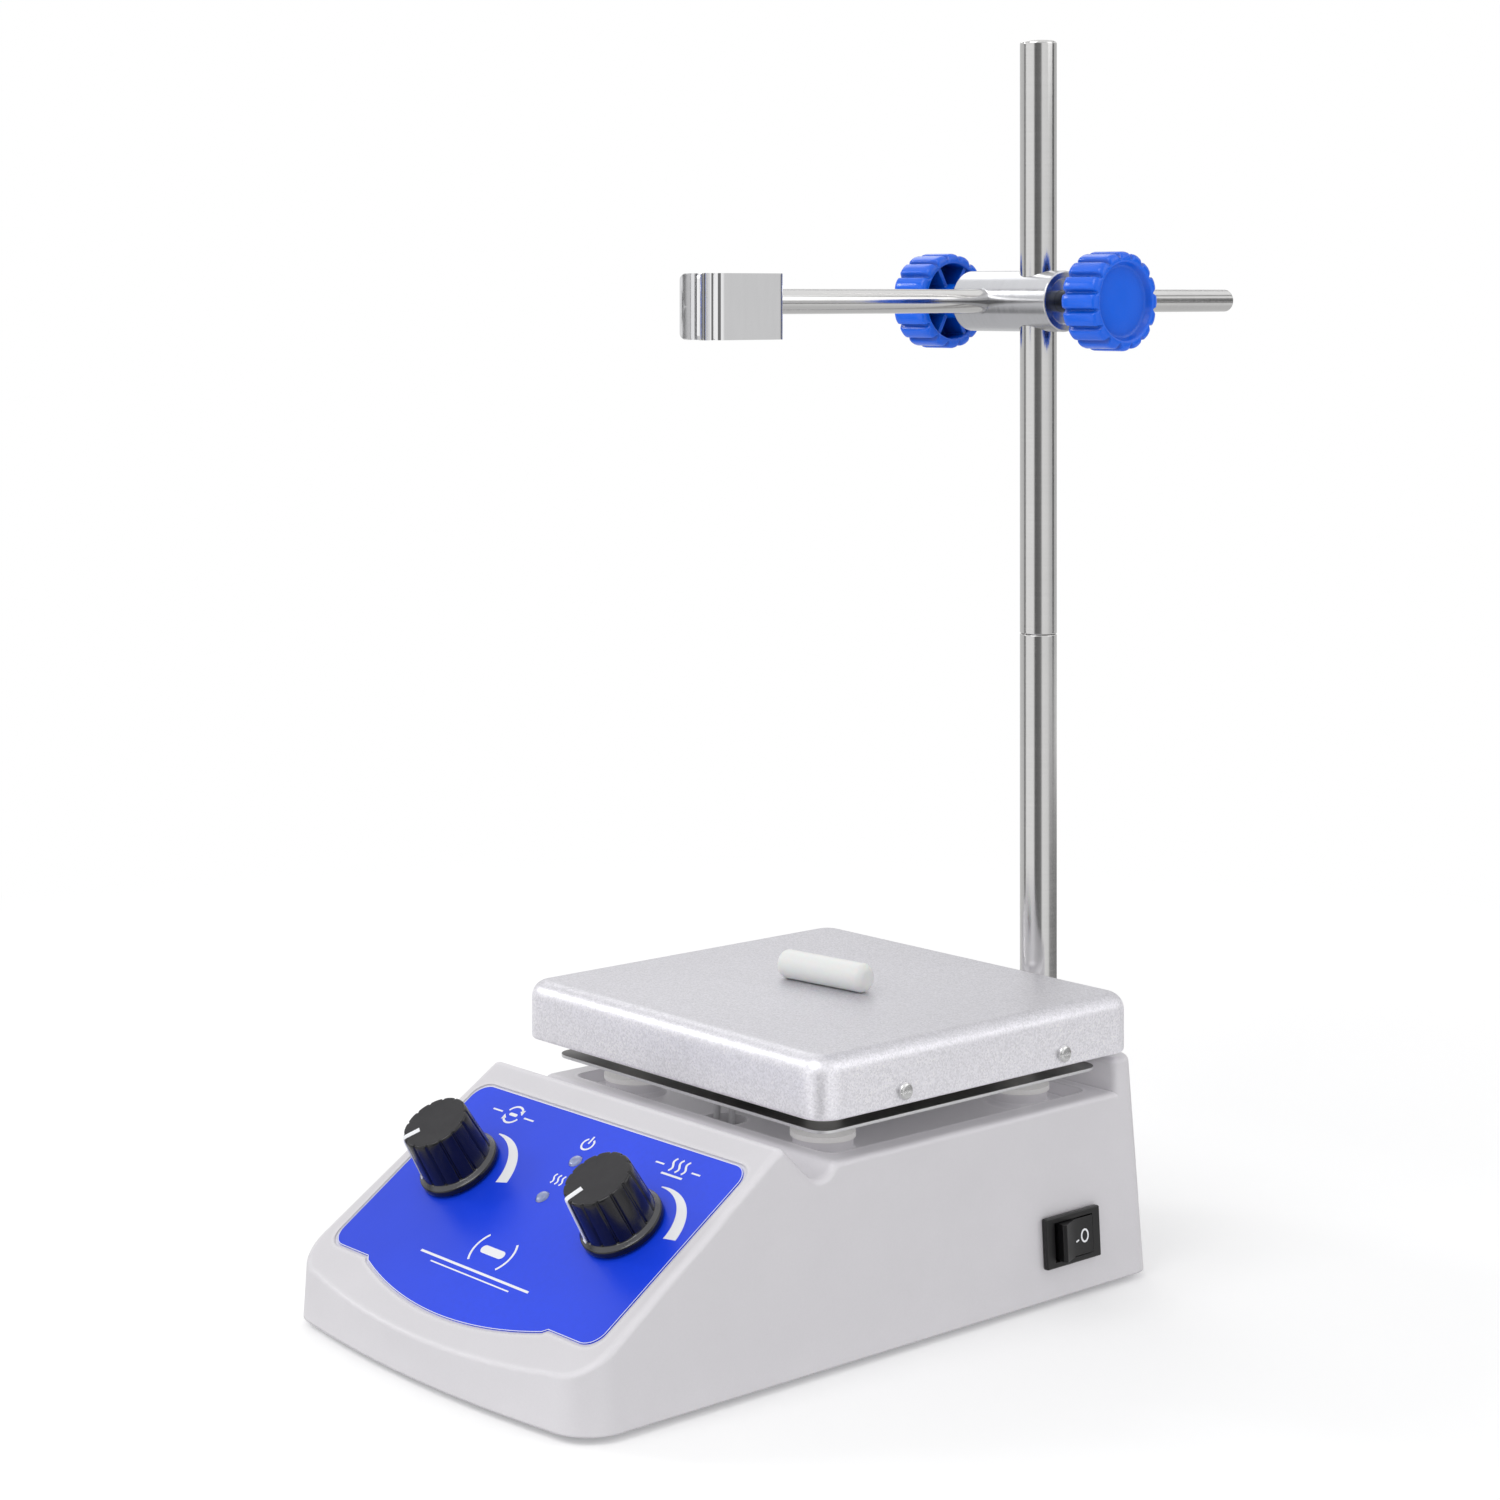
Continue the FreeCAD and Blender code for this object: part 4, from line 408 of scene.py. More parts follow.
# ------------------------------------------------------------------ mesh helpers (mm in, metres out)
def new_piece(name, verts, faces, mat, body, place=None, stands_for=(), smooth=30, bevel=0.0, merge=False, extra=None):
    me = bpy.data.meshes.new(name)
    m4 = place or Matrix.Identity(4)
    me.from_pydata([(m4 @ Vector(v)) * MM for v in verts], [], faces)
    bm = bmesh.new()
    bm.from_mesh(me)
    if merge:
        bmesh.ops.remove_doubles(bm, verts=bm.verts, dist=1e-7)
    bmesh.ops.recalc_face_normals(bm, faces=bm.faces)
    bm.to_mesh(me)
    bm.free()
    me.validate()
    for p in me.polygons:
        p.use_smooth = True
    me.set_sharp_from_angle(angle=math.radians(smooth))
    o = bpy.data.objects.new(name, me)
    scene.collection.objects.link(o)
    me.materials.append(MATS[mat])
    for k in (extra or []):
        me.materials.append(MATS[k])
    if bevel:
        b = o.modifiers.new("bevel", "BEVEL")
        b.width, b.segments, b.limit_method, b.angle_limit = bevel * MM, 3, "ANGLE", math.radians(35)
        b.harden_normals = True
    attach(o, body)
    if stands_for:
        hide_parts(*stands_for)
    return o


def lathe(rows, count, radius=None):
    """Closed solid of revolution about z. rows are (r, z, k); radius(r, k, angle) may shape each ring."""
    verts, faces, rings = [], [], []
    for r, z, *k in rows:
        if r < 1e-6:
            rings.append([len(verts)])
            verts.append((0, 0, z))
            continue
        ring = []
        for i in range(count):
            a = 2 * math.pi * i / count
            rr = radius(r, k[0], a, z) if (radius and k and k[0]) else r
            ring.append(len(verts))
            verts.append((rr * math.cos(a), rr * math.sin(a), z))
        rings.append(ring)
    for a, b in zip(rings, rings[1:]):
        for i in range(count):
            j = (i + 1) % count
            if len(a) == 1 and len(b) == 1:
                continue
            if len(a) == 1:
                faces.append((a[0], b[i], b[j]))
            elif len(b) == 1:
                faces.append((a[i], a[j], b[0]))
            else:
                faces.append((a[i], a[j], b[j], b[i]))
    return verts, faces


def ribbon(points, widths, z0, z1, closed=False):
    """Flat strip of given width along a plane path, with a small thickness."""
    n = len(points)
    pts = [Vector((p[0], p[1], 0)) for p in points]
    w = widths if isinstance(widths, (list, tuple)) else [widths] * n
    left, right = [], []
    for i, p in enumerate(pts):
        a = pts[(i - 1) % n] if closed else pts[max(i - 1, 0)]
        b = pts[(i + 1) % n] if closed else pts[min(i + 1, n - 1)]
        t = (b - a).normalized()
        m_ = Vector((-t.y, t.x, 0))
        left.append(p + m_ * w[i] / 2)
        right.append(p - m_ * w[i] / 2)
    verts = [(v.x, v.y, z) for z in (z0, z1) for side in (left, right) for v in side]
    L0, R0, L1, R1 = 0, n, 2 * n, 3 * n
    faces = []
    last = n if closed else n - 1
    for i in range(last):
        j = (i + 1) % n
        faces += [(L1 + i, R1 + i, R1 + j, L1 + j), (L0 + i, L0 + j, R0 + j, R0 + i),
                  (L0 + i, L1 + i, L1 + j, L0 + j), (R0 + i, R0 + j, R1 + j, R1 + i)]
    if not closed:
        faces += [(L0, R0, R1, L1), (L0 + n - 1, L1 + n - 1, R1 + n - 1, R0 + n - 1)]
    return verts, faces


def prism(points, z0, z1):
    n = len(points)
    verts = [(p[0], p[1], z0) for p in points] + [(p[0], p[1], z1) for p in points]
    faces = [tuple(range(n))[::-1], tuple(range(n, 2 * n))]
    faces += [(i, (i + 1) % n, n + (i + 1) % n, n + i) for i in range(n)]
    return verts, faces


def join(parts):
    verts, faces = [], []
    for v, f in parts:
        k = len(verts)
        verts += list(v)
        faces += [tuple(i + k for i in q) for q in f]
    return verts, faces


def arc(cx, cy, r, a0, a1, n=40):
    return [(cx + r * math.cos(math.radians(a0 + (a1 - a0) * i / n)), cy + r * math.sin(math.radians(a0 + (a1 - a0) * i / n))) for i in range(n + 1)]


def disc(cx, cy, r, n=48):
    return [(cx + r * math.cos(2 * math.pi * i / n), cy + r * math.sin(2 * math.pi * i / n)) for i in range(n)]


# ------------------------------------------------------------------ panel frame
SLOPE = math.radians(32.96)
PANEL = Matrix.Translation(Vector((0, -126.47, 22.97))) @ Matrix.Rotation(SLOPE, 4, "X")


def on_panel(x, s, out=0.0, spin=0.0):
    return PANEL @ Matrix.Translation(Vector((x, s, out))) @ Matrix.Rotation(math.radians(spin), 4, "Z")


# ------------------------------------------------------------------ control knobs
FLUTES = 14


def flute(depth, half):
    pitch = 2 * math.pi / FLUTES

    def f_(r, k, a, z):
        u = abs((a / pitch) % 1.0 - 0.5) * pitch * r      # distance from a groove's middle
        land = (pitch * r / 2 - half)
        v = 1 - (u / half) ** 2 if u < half else 0.0
        crown = 0.10 * (max(u - half, 0) / land - 1) ** 2 if u >= half else 0.10
        return r - k * (depth * max(v, 0.0) + crown * 0.6)

    return f_


for label, x, spin, node_name, body in (("stirring", -34.0, -123.0, "stirring_knob", "speed_control"),
                                        ("heating", 32.4, -110.0, "heating_knob", "heat_control")):
    rows = [
        (3.02, 13.4), (3.02, 4.25), (7.4, 4.2), (7.4, 0.75), (7.5, 0.65), (10.95, 0.65), (11.12, 0.74), (11.2, 0.9), (11.2, 2.15),
        (11.14, 2.32), (10.98, 2.44), (10.7, 2.6), (10.35, 3.05), (10.16, 3.2), (10.02, 3.3, 0.0), (9.97, 3.42, 1.0),
        (9.95, 3.55, 1.0), (9.88, 4.8, 1.0), (9.74, 7.2, 1.0), (9.6, 9.8, 1.0), (9.46, 12.4, 1.0), (9.33, 14.8, 1.0),
        (9.27, 15.75, 1.0), (9.22, 16.05, 1.0), (9.1, 16.3, 1.0), (8.9, 16.42, 0.96), (8.6, 16.46, 0.9),
    ]
    v, f = lathe([(0.0, 13.4)] + rows + [(7.9, 16.44, 0.0), (0.0, 16.40)], 420, flute(0.48, 0.46))
    place = on_panel(x, 29.9, 0.0, spin)
    knob = new_piece(label + "_knob_body", v, f, "knob_black", body, place, (node_name,), smooth=38, extra=["knob_top", "knob_rim_painted_highlight"])
    inv = place.inverted()
    # the top faces take the matte top plastic; the flange's sloping ring takes the paler copy, a painted highlight
    for p in knob.data.polygons:
        c_ = inv @ (Vector(p.center) / MM)
        n_ = inv.to_3x3() @ Vector(p.normal)
        if c_.z > 16.2 and n_.z > 0.9:
            p.material_index = 1
        elif 2.35 < c_.z < 3.28 and 10.0 < math.hypot(c_.x, c_.y) < 11.0 and n_.z > 0.3:
            p.material_index = 2
    # white pointer, moulded flush over the top edge and down one land of the grip
    path = [(4.4, 16.47), (8.3, 16.50), (8.85, 16.46), (9.14, 16.36), (9.34, 16.05), (9.44, 15.7), (9.76, 9.8), (10.08, 3.75), (10.2, 3.36), (10.42, 3.12)]
    hw = 0.80
    verts, faces = [], []
    for i, (r, z) in enumerate(path):
        a = path[max(i - 1, 0)]
        b = path[min(i + 1, len(path) - 1)]
        t = Vector((b[0] - a[0], b[1] - a[1])).normalized()
        nr, nz = -t.y, t.x                      # outward of the strip
        for off in (0.05, -0.35):
            for y in (-hw, hw):
                verts.append((r + nr * off, y, z + nz * off))
    for i in range(len(path) - 1):
        a, b = 4 * i, 4 * i + 4
        faces += [(a, a + 1, b + 1, b), (a + 2, b + 2, b + 3, a + 3), (a, b, b + 2, a + 2), (a + 1, a + 3, b + 3, b + 1)]
    e = 4 * (len(path) - 1)
    faces += [(0, 2, 3, 1), (e, e + 1, e + 3, e + 2)]
    new_piece(label + "_pointer", verts, faces, "print_white", body, place, smooth=40)

# ------------------------------------------------------------------ thumb knobs on the boss head
LOBES = 16


def lobed(r, k, a, z):
    pitch = 2 * math.pi / LOBES
    u = abs((a / pitch) % 1.0 - 0.5) * 2            # 0 in a valley's middle, 1 on a crest
    half = 0.42
    v = 0.5 + 0.5 * math.cos(math.pi * u / half) if u < half else 0.0
    crest = 0.16 * ((u - 1) / (1 - half)) ** 2 if u >= half else 0.16
    return r - k * (1.25 * v + crest)


def thumb(node_name, body, x_face, sign):
    t, R = 12.4, 13.97
    rows = [
        (0.0, 8.1), (3.02, 8.1), (3.02, -2.35), (3.25, -2.6), (4.7, -2.6), (5.0, -2.35), (5.1, 8.1), (5.5, 8.55), (10.4, 8.55), (10.85, 8.1),
        (11.05, 0.5), (11.3, 0.12), (11.7, 0.0, 0.0), (12.4, 0.0, 0.45), (13.0, 0.1, 0.8), (13.5, 0.4, 1.0), (13.82, 0.8, 1.0), (R, 1.4, 1.0), (R, 3.4, 1.0),
        (R + 0.02, 6.2, 1.0), (R, 9.0, 1.0), (R, t - 1.5, 1.0), (13.85, t - 0.9, 1.0), (13.5, t - 0.42, 1.0), (13.0, t - 0.12, 0.85), (12.4, t, 0.5), (11.7, t, 0.0),
        (11.35, t - 0.05), (11.1, t - 0.22), (10.9, t - 0.48), (10.35, t - 1.55), (10.15, t - 1.8), (9.85, t - 1.92), (9.4, t - 1.94), (0.0, t - 1.80),
    ]
    v, f = lathe(rows, 384, lobed)
    parts = [(v, f)]
    for k in range(6):
        a = math.radians(60 * k + 30)
        ca, sa = math.cos(a), math.sin(a)
        sec = []
        for x0, z0 in ((4.8, 1.0), (4.8, 8.8), (11.1, 8.8), (11.1, 1.0)):
            for y0 in (-0.62, 0.62):
                sec.append((x0 * ca - y0 * sa, x0 * sa + y0 * ca, z0))
        parts.append((sec, [(0, 1, 3, 2), (2, 3, 5, 4), (4, 5, 7, 6), (6, 7, 1, 0), (0, 2, 4, 6), (1, 7, 5, 3)]))
    v, f = join(parts)
    turn = Matrix.Rotation(math.radians(90 * sign), 4, "Y")
    place = Matrix.Translation(Vector((x_face - sign * t, 67.0, 269.3))) @ turn
    return new_piece(node_name + "_lobed", v, f, "grip_blue", body, place, (node_name,), smooth=42)


thumb("rod_clamp_knob", "rod_clamp_grip", 51.3, 1)
thumb("arm_clamp_knob", "arm_clamp_grip", -26.5, -1)

# ------------------------------------------------------------------ printed marks on the control panel
Z0, Z1 = 0.0, 0.055
marks = []


def outline_pts(pts, seg=28):
    """Closed polyline from corners; (x, y, r, side) starts an arc to the next corner."""
    out, n = [], len(pts)
    for i, p in enumerate(pts):
        q = pts[(i + 1) % n]
        a, b = Vector((p[0], p[1])), Vector((q[0], q[1]))
        if len(p) == 2:
            out.append(tuple(a))
            continue
        ch = b - a
        half = ch.length / 2
        r = p[2]
        right = Vector((ch.y, -ch.x)).normalized()
        centre = (a + b) / 2 - right * (math.sqrt(max(r * r - half * half, 0)) * p[3])
        a0 = math.atan2(a.y - centre.y, a.x - centre.x)
        a1 = math.atan2(b.y - centre.y, b.x - centre.x)
        if p[3] > 0 and a1 < a0:
            a1 += 2 * math.pi
        for k in range(seg):
            w = a0 + (a1 - a0) * k / seg
            out.append((centre.x + r * math.cos(w), centre.y + r * math.sin(w)))
    return out


def label_outline(inset):
    hx, top, low, step, drop, r, sag = 53.9 - inset, 57.2 - inset, -3.8 + inset, 37.0, 5.0, 5.0, 11.9
    rise = sag - drop
    bow = (step * step + rise * rise) / (2 * rise)
    dy = inset
    return outline_pts([
        (-hx + r, low), (-step - inset * 0.3, low), (-step + 1.2, -drop + dy, bow, 1), (step - 1.2, -drop + dy), (step + inset * 0.3, low),
        (hx - r, low, r, 1), (hx, low + r), (hx, top - r, r, 1), (hx - r, top), (-hx + r, top, r, 1), (-hx, top - r), (-hx, low + r, r, 1),
    ])


marks.append(ribbon(label_outline(0.12), 0.18, Z0, Z1, closed=True))


def tapered(points_out, points_in):
    n = len(points_out)
    verts = [(p[0], p[1], z) for z in (Z0, Z1) for line in (points_out, points_in) for p in line]
    A0, B0, A1, B1 = 0, n, 2 * n, 3 * n
    faces = []
    for i in range(n - 1):
        faces += [(A1 + i, B1 + i, B1 + i + 1, A1 + i + 1), (A0 + i, A0 + i + 1, B0 + i + 1, B0 + i),
                  (A0 + i, A1 + i, A1 + i + 1, A0 + i + 1), (B0 + i, B0 + i + 1, B1 + i + 1, B1 + i)]
    faces += [(A0, B0, B1, A1), (A0 + n - 1, A1 + n - 1, B1 + n - 1, B0 + n - 1)]
    return verts, faces


def through(p0, p1, p2, n=36):
    """Points on the circle through three points."""
    ax, ay, bx, by, cx, cy = *p0, *p1, *p2
    d_ = 2 * (ax * (by - cy) + bx * (cy - ay) + cx * (ay - by))
    ux = ((ax * ax + ay * ay) * (by - cy) + (bx * bx + by * by) * (cy - ay) + (cx * cx + cy * cy) * (ay - by)) / d_
    uy = ((ax * ax + ay * ay) * (cx - bx) + (bx * bx + by * by) * (ax - cx) + (cx * cx + cy * cy) * (bx - ax)) / d_
    r = math.hypot(ax - ux, ay - uy)
    a0, a1, a2 = (math.atan2(p[1] - uy, p[0] - ux) for p in (p0, p1, p2))
    while a1 > a0:
        a1 -= 2 * math.pi
    while a2 > a1:
        a2 -= 2 * math.pi
    return [(ux + r * math.cos(a0 + (a2 - a0) * i / n), uy + r * math.sin(a0 + (a2 - a0) * i / n)) for i in range(n + 1)]


marks.append(tapered(through((-32.3, 43.7), (-19.7, 39.2), (-15.1, 30.4)), through((-32.3, 43.4), (-23.4, 39.0), (-18.8, 29.4))))
marks.append(tapered(through((32.9, 44.4), (45.6, 40.7), (50.5, 31.1)), through((32.9, 44.1), (41.9, 40.6), (46.5, 30.5))))


def arrow_head(x, y, ang, size):
    a = math.radians(ang)
    d1, d2 = Vector((math.cos(a), math.sin(a))), Vector((-math.sin(a), math.cos(a)))
    p = [Vector((x, y)) + d1 * size, Vector((x, y)) + d2 * size * 0.62 - d1 * size * 0.25, Vector((x, y)) - d2 * size * 0.62 - d1 * size * 0.25]
    return prism([(q.x, q.y) for q in p], Z0, Z1)


# turning arrows with a bar between them: the stirring control
sx, sy = -33.6, 50.6
marks.append(ribbon(arc(sx, sy, 2.9, 35, 160), 0.62, Z0, Z1))
marks.append(ribbon(arc(sx, sy, 2.9, 215, 340), 0.62, Z0, Z1))
marks.append(arrow_head(sx + 2.9 * math.cos(math.radians(35)), sy + 2.9 * math.sin(math.radians(35)), -62, 1.35))
marks.append(arrow_head(sx + 2.9 * math.cos(math.radians(215)), sy + 2.9 * math.sin(math.radians(215)), 118, 1.35))
cap = [(sx - 1.1 + 0.5 * math.cos(math.radians(w)), sy + 0.5 * math.sin(math.radians(w))) for w in range(90, 271, 20)] + \
      [(sx + 1.1 + 0.5 * math.cos(math.radians(w)), sy + 0.5 * math.sin(math.radians(w))) for w in range(-90, 91, 20)]
marks.append(prism(cap, Z0, Z1))
for k in (-1, 1):
    marks.append(ribbon([(sx + k * 4.6, sy), (sx + k * 8.6, sy)], 0.5, Z0, Z1))


def wave(cx, cy, hgt, amp, w):
    pts = [(cx + amp * math.sin(2 * math.pi * i / 28), cy - hgt / 2 + hgt * i / 28) for i in range(29)]
    return ribbon(pts, w, Z0, Z1)


# three rising waves over a bar: the heating control
hx_, hy_ = 32.8, 50.8
for k in (-1, 0, 1):
    marks.append(wave(hx_ + 2.4 * k, hy_ + 0.7, 4.2, 0.55, 0.62))
marks.append(ribbon([(hx_ - 3.9, hy_ - 2.6), (hx_ + 3.9, hy_ - 2.6)], 0.62, Z0, Z1))
for k in (-1, 1):
    marks.append(ribbon([(hx_ + k * 5.2, hy_), (hx_ + k * 8.4, hy_)], 0.5, Z0, Z1))

# power lamp: broken ring with a stroke; heat lamp: two small waves
marks.append(ribbon(arc(-1.0, 49.2, 1.9, 122, 418, 44), 0.56, Z0, Z1))
marks.append(ribbon([(-1.0, 49.4), (-1.0, 52.0)], 0.56, Z0, Z1))
for k in (-1, 0, 1):
    marks.append(wave(0.0 + 1.7 * k, 36.3, 3.2, 0.4, 0.5))

# lower centre: a plain capsule between two curved strokes, over a thin double rule
cx_, cy_ = 0.6, 10.2
cap = [(cx_ - 3.3 + 1.25 * math.cos(math.radians(w)), cy_ + 1.25 * math.sin(math.radians(w))) for w in range(90, 271, 15)] + \
      [(cx_ + 3.3 + 1.25 * math.cos(math.radians(w)), cy_ + 1.25 * math.sin(math.radians(w))) for w in range(-90, 91, 15)]
marks.append(prism(cap, Z0, Z1))
for k in (-1, 1):
    marks.append(ribbon(arc(cx_, cy_, 7.0, -38 if k > 0 else 142, 38 if k > 0 else 218, 24), 0.66, Z0, Z1))
marks.append(ribbon([(-22.0, 3.4), (22.0, 3.4)], 0.7, Z0, Z1))
marks.append(ribbon([(-16.0, 1.6), (16.0, 1.6)], 0.4, Z0, Z1))
v, f = join(marks)
new_piece("panel_marks", v, f, "print_white", "stirrer_base", PANEL)

# ------------------------------------------------------------------ rocker marks
LEAN = math.atan2(3.68, 62.0)
WALL_X = 61.0 - (17.2 - 2.0) * 3.68 / 62.0
WALL = Matrix.Translation(Vector((WALL_X, 32.8, 17.2))) @ Matrix.Rotation(-LEAN, 4, "Y")
ROCK = WALL @ Matrix.Translation(Vector((0.6, 0, 0))) @ Matrix.Rotation(math.radians(11.0), 4, "Z")
run = Vector((1.5, 6.6, 0)).normalized()
nrm = Vector((run.y, -run.x, 0))
FACE = Matrix(((run.x, 0, nrm.x, 1.5), (run.y, 0, nrm.y, 0.0), (0, 1, 0, 0.0), (0, 0, 0, 1)))
ring = [(3.65 + 1.25 * math.cos(2 * math.pi * i / 48), -0.05 + 1.6 * math.sin(2 * math.pi * i / 48)) for i in range(48)]
v, f = join([ribbon(ring, 0.5, -0.05, 0.05, closed=True), ribbon([(0.3, -1.2), (1.35, -0.85)], 0.42, -0.05, 0.05)])
new_piece("rocker_marks", v, f, "print_white", "power_rocker", ROCK @ FACE)

# ------------------------------------------------------------------ floor
bm = bmesh.new()
S, N = 6.0, 60
bmesh.ops.create_grid(bm, x_segments=N, y_segments=N, size=S)
me = bpy.data.meshes.new("floor")
bm.to_mesh(me)
bm.free()
floor = bpy.data.objects.new("floor", me)
scene.collection.objects.link(floor)
m = Mat("floor_pale")
far = m.add("ShaderNodeVectorMath", operation="LENGTH")
m.link(m.co, far.inputs[0])
blend = m.add("ShaderNodeMapRange", interpolation_type="SMOOTHSTEP")
for i_, v_ in zip((1, 2, 3, 4), (0.22, 0.62, 0.0, 1.0)):
    blend.inputs[i_].default_value = v_
m.link(far.outputs["Value"], blend.inputs[0])
blend = blend.outputs[0]
soft = m.noise(1.5, 2, 0.5)
c = m.mix(m.remap(soft, 0.3, 0.7, 0, 1), (0.86, 0.86, 0.865, 1), (0.90, 0.90, 0.90, 1))
m.set(color=m.mix(blend, c, (0, 0, 0, 1)), rough=0.75, spec=m.remap(blend, 0, 1, 0.15, 0.0))
m.p.inputs["Emission Color"].default_value = (1, 1, 1, 1)
m.link(m.remap(blend, 0, 1, 0.16, 1.0), m.p.inputs["Emission Strength"])
me.materials.append(m.m)
floor.visible_glossy = False

# ------------------------------------------------------------------ camera
AZ = math.radians(50.56)
back = Vector((math.sin(AZ), -math.cos(AZ), 0.0))
right = Vector((math.cos(AZ), math.sin(AZ), 0.0))
MAIN = Vector((612.0, -598.2, 271.4)) * MM
cam_data = bpy.data.cameras.new("camera")
cam = bpy.data.objects.new("camera", cam_data)
scene.collection.objects.link(cam)
cam.location = MAIN
cam.rotation_mode = "QUATERNION"
cam.rotation_quaternion = (-back).to_track_quat("-Z", "Y")
cam_data.sensor_width = 36.0
cam_data.lens = 73.61
cam_data.clip_start, cam_data.clip_end = 0.01, 50.0
scene.camera = cam
# The matched view has its picture plane upright, so the lens is shifted; any other view of the
# camera is centred: the shift fades out as the camera leaves its main place.
home = bpy.data.objects.new("camera_home", None)
home.location = MAIN
scene.collection.objects.link(home)


def shift_driver(prop, value):
    fc = cam_data.driver_add(prop)
    drv = fc.driver
    drv.type = "SUM"
    var = drv.variables.new()
    var.name = "away"
    var.type = "LOC_DIFF"
    var.targets[0].id, var.targets[1].id = cam, home
    for k in list(fc.modifiers):
        fc.modifiers.remove(k)
    while len(fc.keyframe_points):
        fc.keyframe_points.remove(fc.keyframe_points[0])
    fc.keyframe_points.add(2)
    for kp, co in zip(fc.keyframe_points, ((0.0, value), (0.1, 0.0))):
        kp.co = co
        kp.interpolation = "LINEAR"
    fc.extrapolation = "CONSTANT"
    fc.update()


cam_data.shift_x, cam_data.shift_y = 0.1254, -0.3041
shift_driver("shift_x", 0.1254)
shift_driver("shift_y", -0.3041)


# ------------------------------------------------------------------ light
def area(name, at, aim, size, power, colour=(1, 1, 1)):
    l = bpy.data.lights.new(name, "AREA")
    l.shape, l.size, l.energy, l.color = "SQUARE", size, power, colour
    o = bpy.data.objects.new(name, l)
    scene.collection.objects.link(o)
    o.location = at
    o.rotation_euler = (Vector(aim) - Vector(at)).to_track_quat("-Z", "Y").to_euler()
    return o


mid = Vector((0.0, -0.03, 0.10))
area("key", mid + (-right * 0.75 + back * 0.75 + Vector((0, 0, 1.25))), mid, 1.0, 7.5)
area("side", mid + (right * 1.3 + back * 0.35 + Vector((0, 0, 0.75))), mid, 0.9, 2.2)
area("glint", mid + Vector((-0.754, -0.464, 0.465)) * 1.5, mid, 0.25, 2.2)
area("rear", mid + (-back * 1.2 - right * 0.2 + Vector((0, 0, 1.0))), mid, 0.8, 2.0)

world = bpy.data.worlds.new("studio")
scene.world = world
world.use_nodes = True
wt = world.node_tree
wt.nodes.clear()


def wadd(kind, **props):
    n = wt.nodes.new(kind)
    for k, v_ in props.items():
        setattr(n, k, v_)
    return n


out = wadd("ShaderNodeOutputWorld")
tc = wadd("ShaderNodeTexCoord")


def wdot(vec):
    n = wadd("ShaderNodeVectorMath", operation="DOT_PRODUCT")
    wt.links.new(tc.outputs["Generated"], n.inputs[0])
    n.inputs[1].default_value = vec
    return n.outputs["Value"]


def wmath(op, a, b=0.0):
    n = wadd("ShaderNodeMath", operation=op)
    for s_, v_ in ((n.inputs[0], a), (n.inputs[1], b)):
        if hasattr(v_, "links"):
            wt.links.new(v_, s_)
        else:
            s_.default_value = v_
    return n.outputs[0]


def wramp(fac, stops):
    n = wadd("ShaderNodeValToRGB")
    el = n.color_ramp.elements
    while len(el) > 1:
        el.remove(el[-1])
    el[0].position, el[0].color = stops[0][0], (stops[0][1],) * 3 + (1,)
    for p_, v_ in stops[1:]:
        e_ = el.new(p_)
        e_.color = (v_,) * 3 + (1,)
    wt.links.new(fac, n.inputs[0])
    return n.outputs[0]


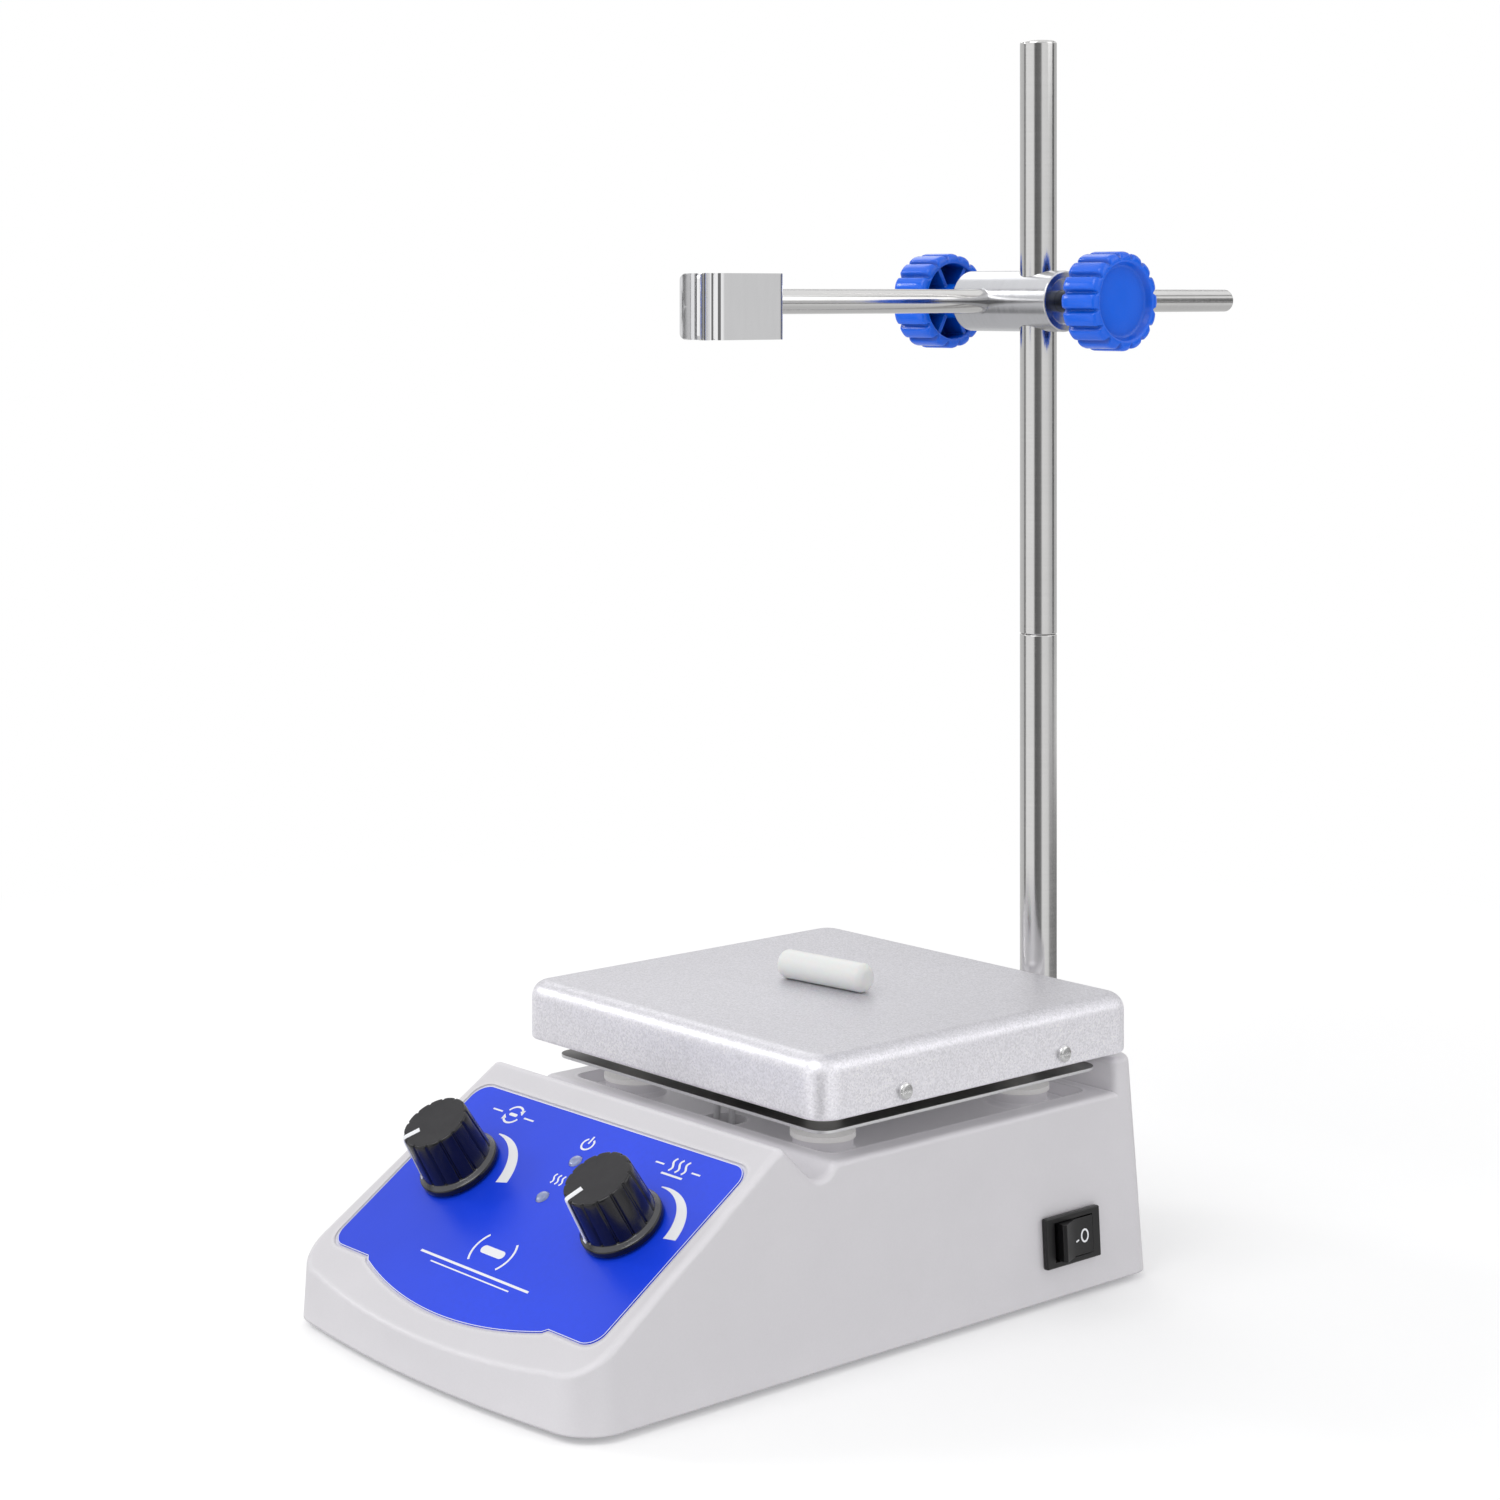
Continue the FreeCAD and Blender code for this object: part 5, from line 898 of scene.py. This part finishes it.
# round-about angle seen from the object, 0.5 towards the camera, larger to the camera's right
turn_ = wmath("ARCTAN2", wdot(tuple(right)), wdot(tuple(back)))
round_ = wmath("ADD", wmath("MULTIPLY", turn_, 1 / (2 * math.pi)), 0.5)
A = lambda deg: 0.5 + deg / 360.0
cards = wramp(round_, [
    (A(-180), 0.74), (A(-112), 0.66), (A(-104), 0.16), (A(-97), 0.16), (A(-92), 1.0), (A(-38), 1.0), (A(-30), 0.13), (A(8), 0.22), (A(15), 0.95),
    (A(50), 0.88), (A(74), 0.64), (A(87), 0.64), (A(90), 0.10), (A(104), 0.12), (A(109), 0.62), (A(150), 0.62), (A(180), 0.74)])
up = wdot((0, 0, 1))
high = wramp(wmath("ADD", wmath("MULTIPLY", up, 0.5), 0.5), [
    (0.0, 0.62), (0.22, 0.62), (0.34, 0.8), (0.365, 0.8), (0.38, 0.22), (0.415, 0.22), (0.43, 0.9), (0.60, 0.9), (0.665, 0.95), (0.72, 0.95), (0.735, 0.3), (0.765, 0.3), (0.78, 1.0), (1.0, 1.0)])
half_up = wmath("ADD", wmath("MULTIPLY", up, 0.5), 0.5)
sideways = wramp(round_, [(0.0, 0.0), (A(58), 0.0), (A(68), 1.0), (A(150), 1.0), (A(160), 0.0), (1.0, 0.0)])
above = wramp(half_up, [(0.0, 0.0), (0.60, 0.0), (0.66, 1.0), (1.0, 1.0)])
below = wramp(half_up, [(0.0, 1.0), (0.43, 1.0), (0.441, 0.0), (1.0, 0.0)])
deep = wramp(half_up, [(0.0, 1.0), (0.20, 1.0), (0.24, 0.0), (1.0, 0.0)])
lvl = wmath("MAXIMUM", wmath("MAXIMUM", above, deep), wmath("MULTIPLY", below, sideways))
mixg = wadd("ShaderNodeMix", data_type="RGBA")
wt.links.new(lvl, mixg.inputs[0])
wt.links.new(cards, mixg.inputs[6])
wt.links.new(high, mixg.inputs[7])
glossy = wadd("ShaderNodeBackground")
glossy.inputs[1].default_value = 1.0
wt.links.new(mixg.outputs[2], glossy.inputs[0])
dome = wadd("ShaderNodeBackground")
domecol = wramp(wmath("ADD", wmath("MULTIPLY", up, 0.5), 0.5), [(0.0, 0.90), (0.5, 0.92), (0.75, 0.94), (1.0, 0.92)])
wt.links.new(domecol, dome.inputs[0])
dome.inputs[1].default_value = 0.75
seen = wadd("ShaderNodeBackground")
seen.inputs[0].default_value = (1, 1, 1, 1)
seen.inputs[1].default_value = 1.0
lp = wadd("ShaderNodeLightPath")
m1, m2 = wadd("ShaderNodeMixShader"), wadd("ShaderNodeMixShader")
wt.links.new(lp.outputs["Is Glossy Ray"], m1.inputs[0])
wt.links.new(dome.outputs[0], m1.inputs[1])
wt.links.new(glossy.outputs[0], m1.inputs[2])
wt.links.new(lp.outputs["Is Camera Ray"], m2.inputs[0])
wt.links.new(m1.outputs[0], m2.inputs[1])
wt.links.new(seen.outputs[0], m2.inputs[2])
wt.links.new(m2.outputs[0], out.inputs[0])
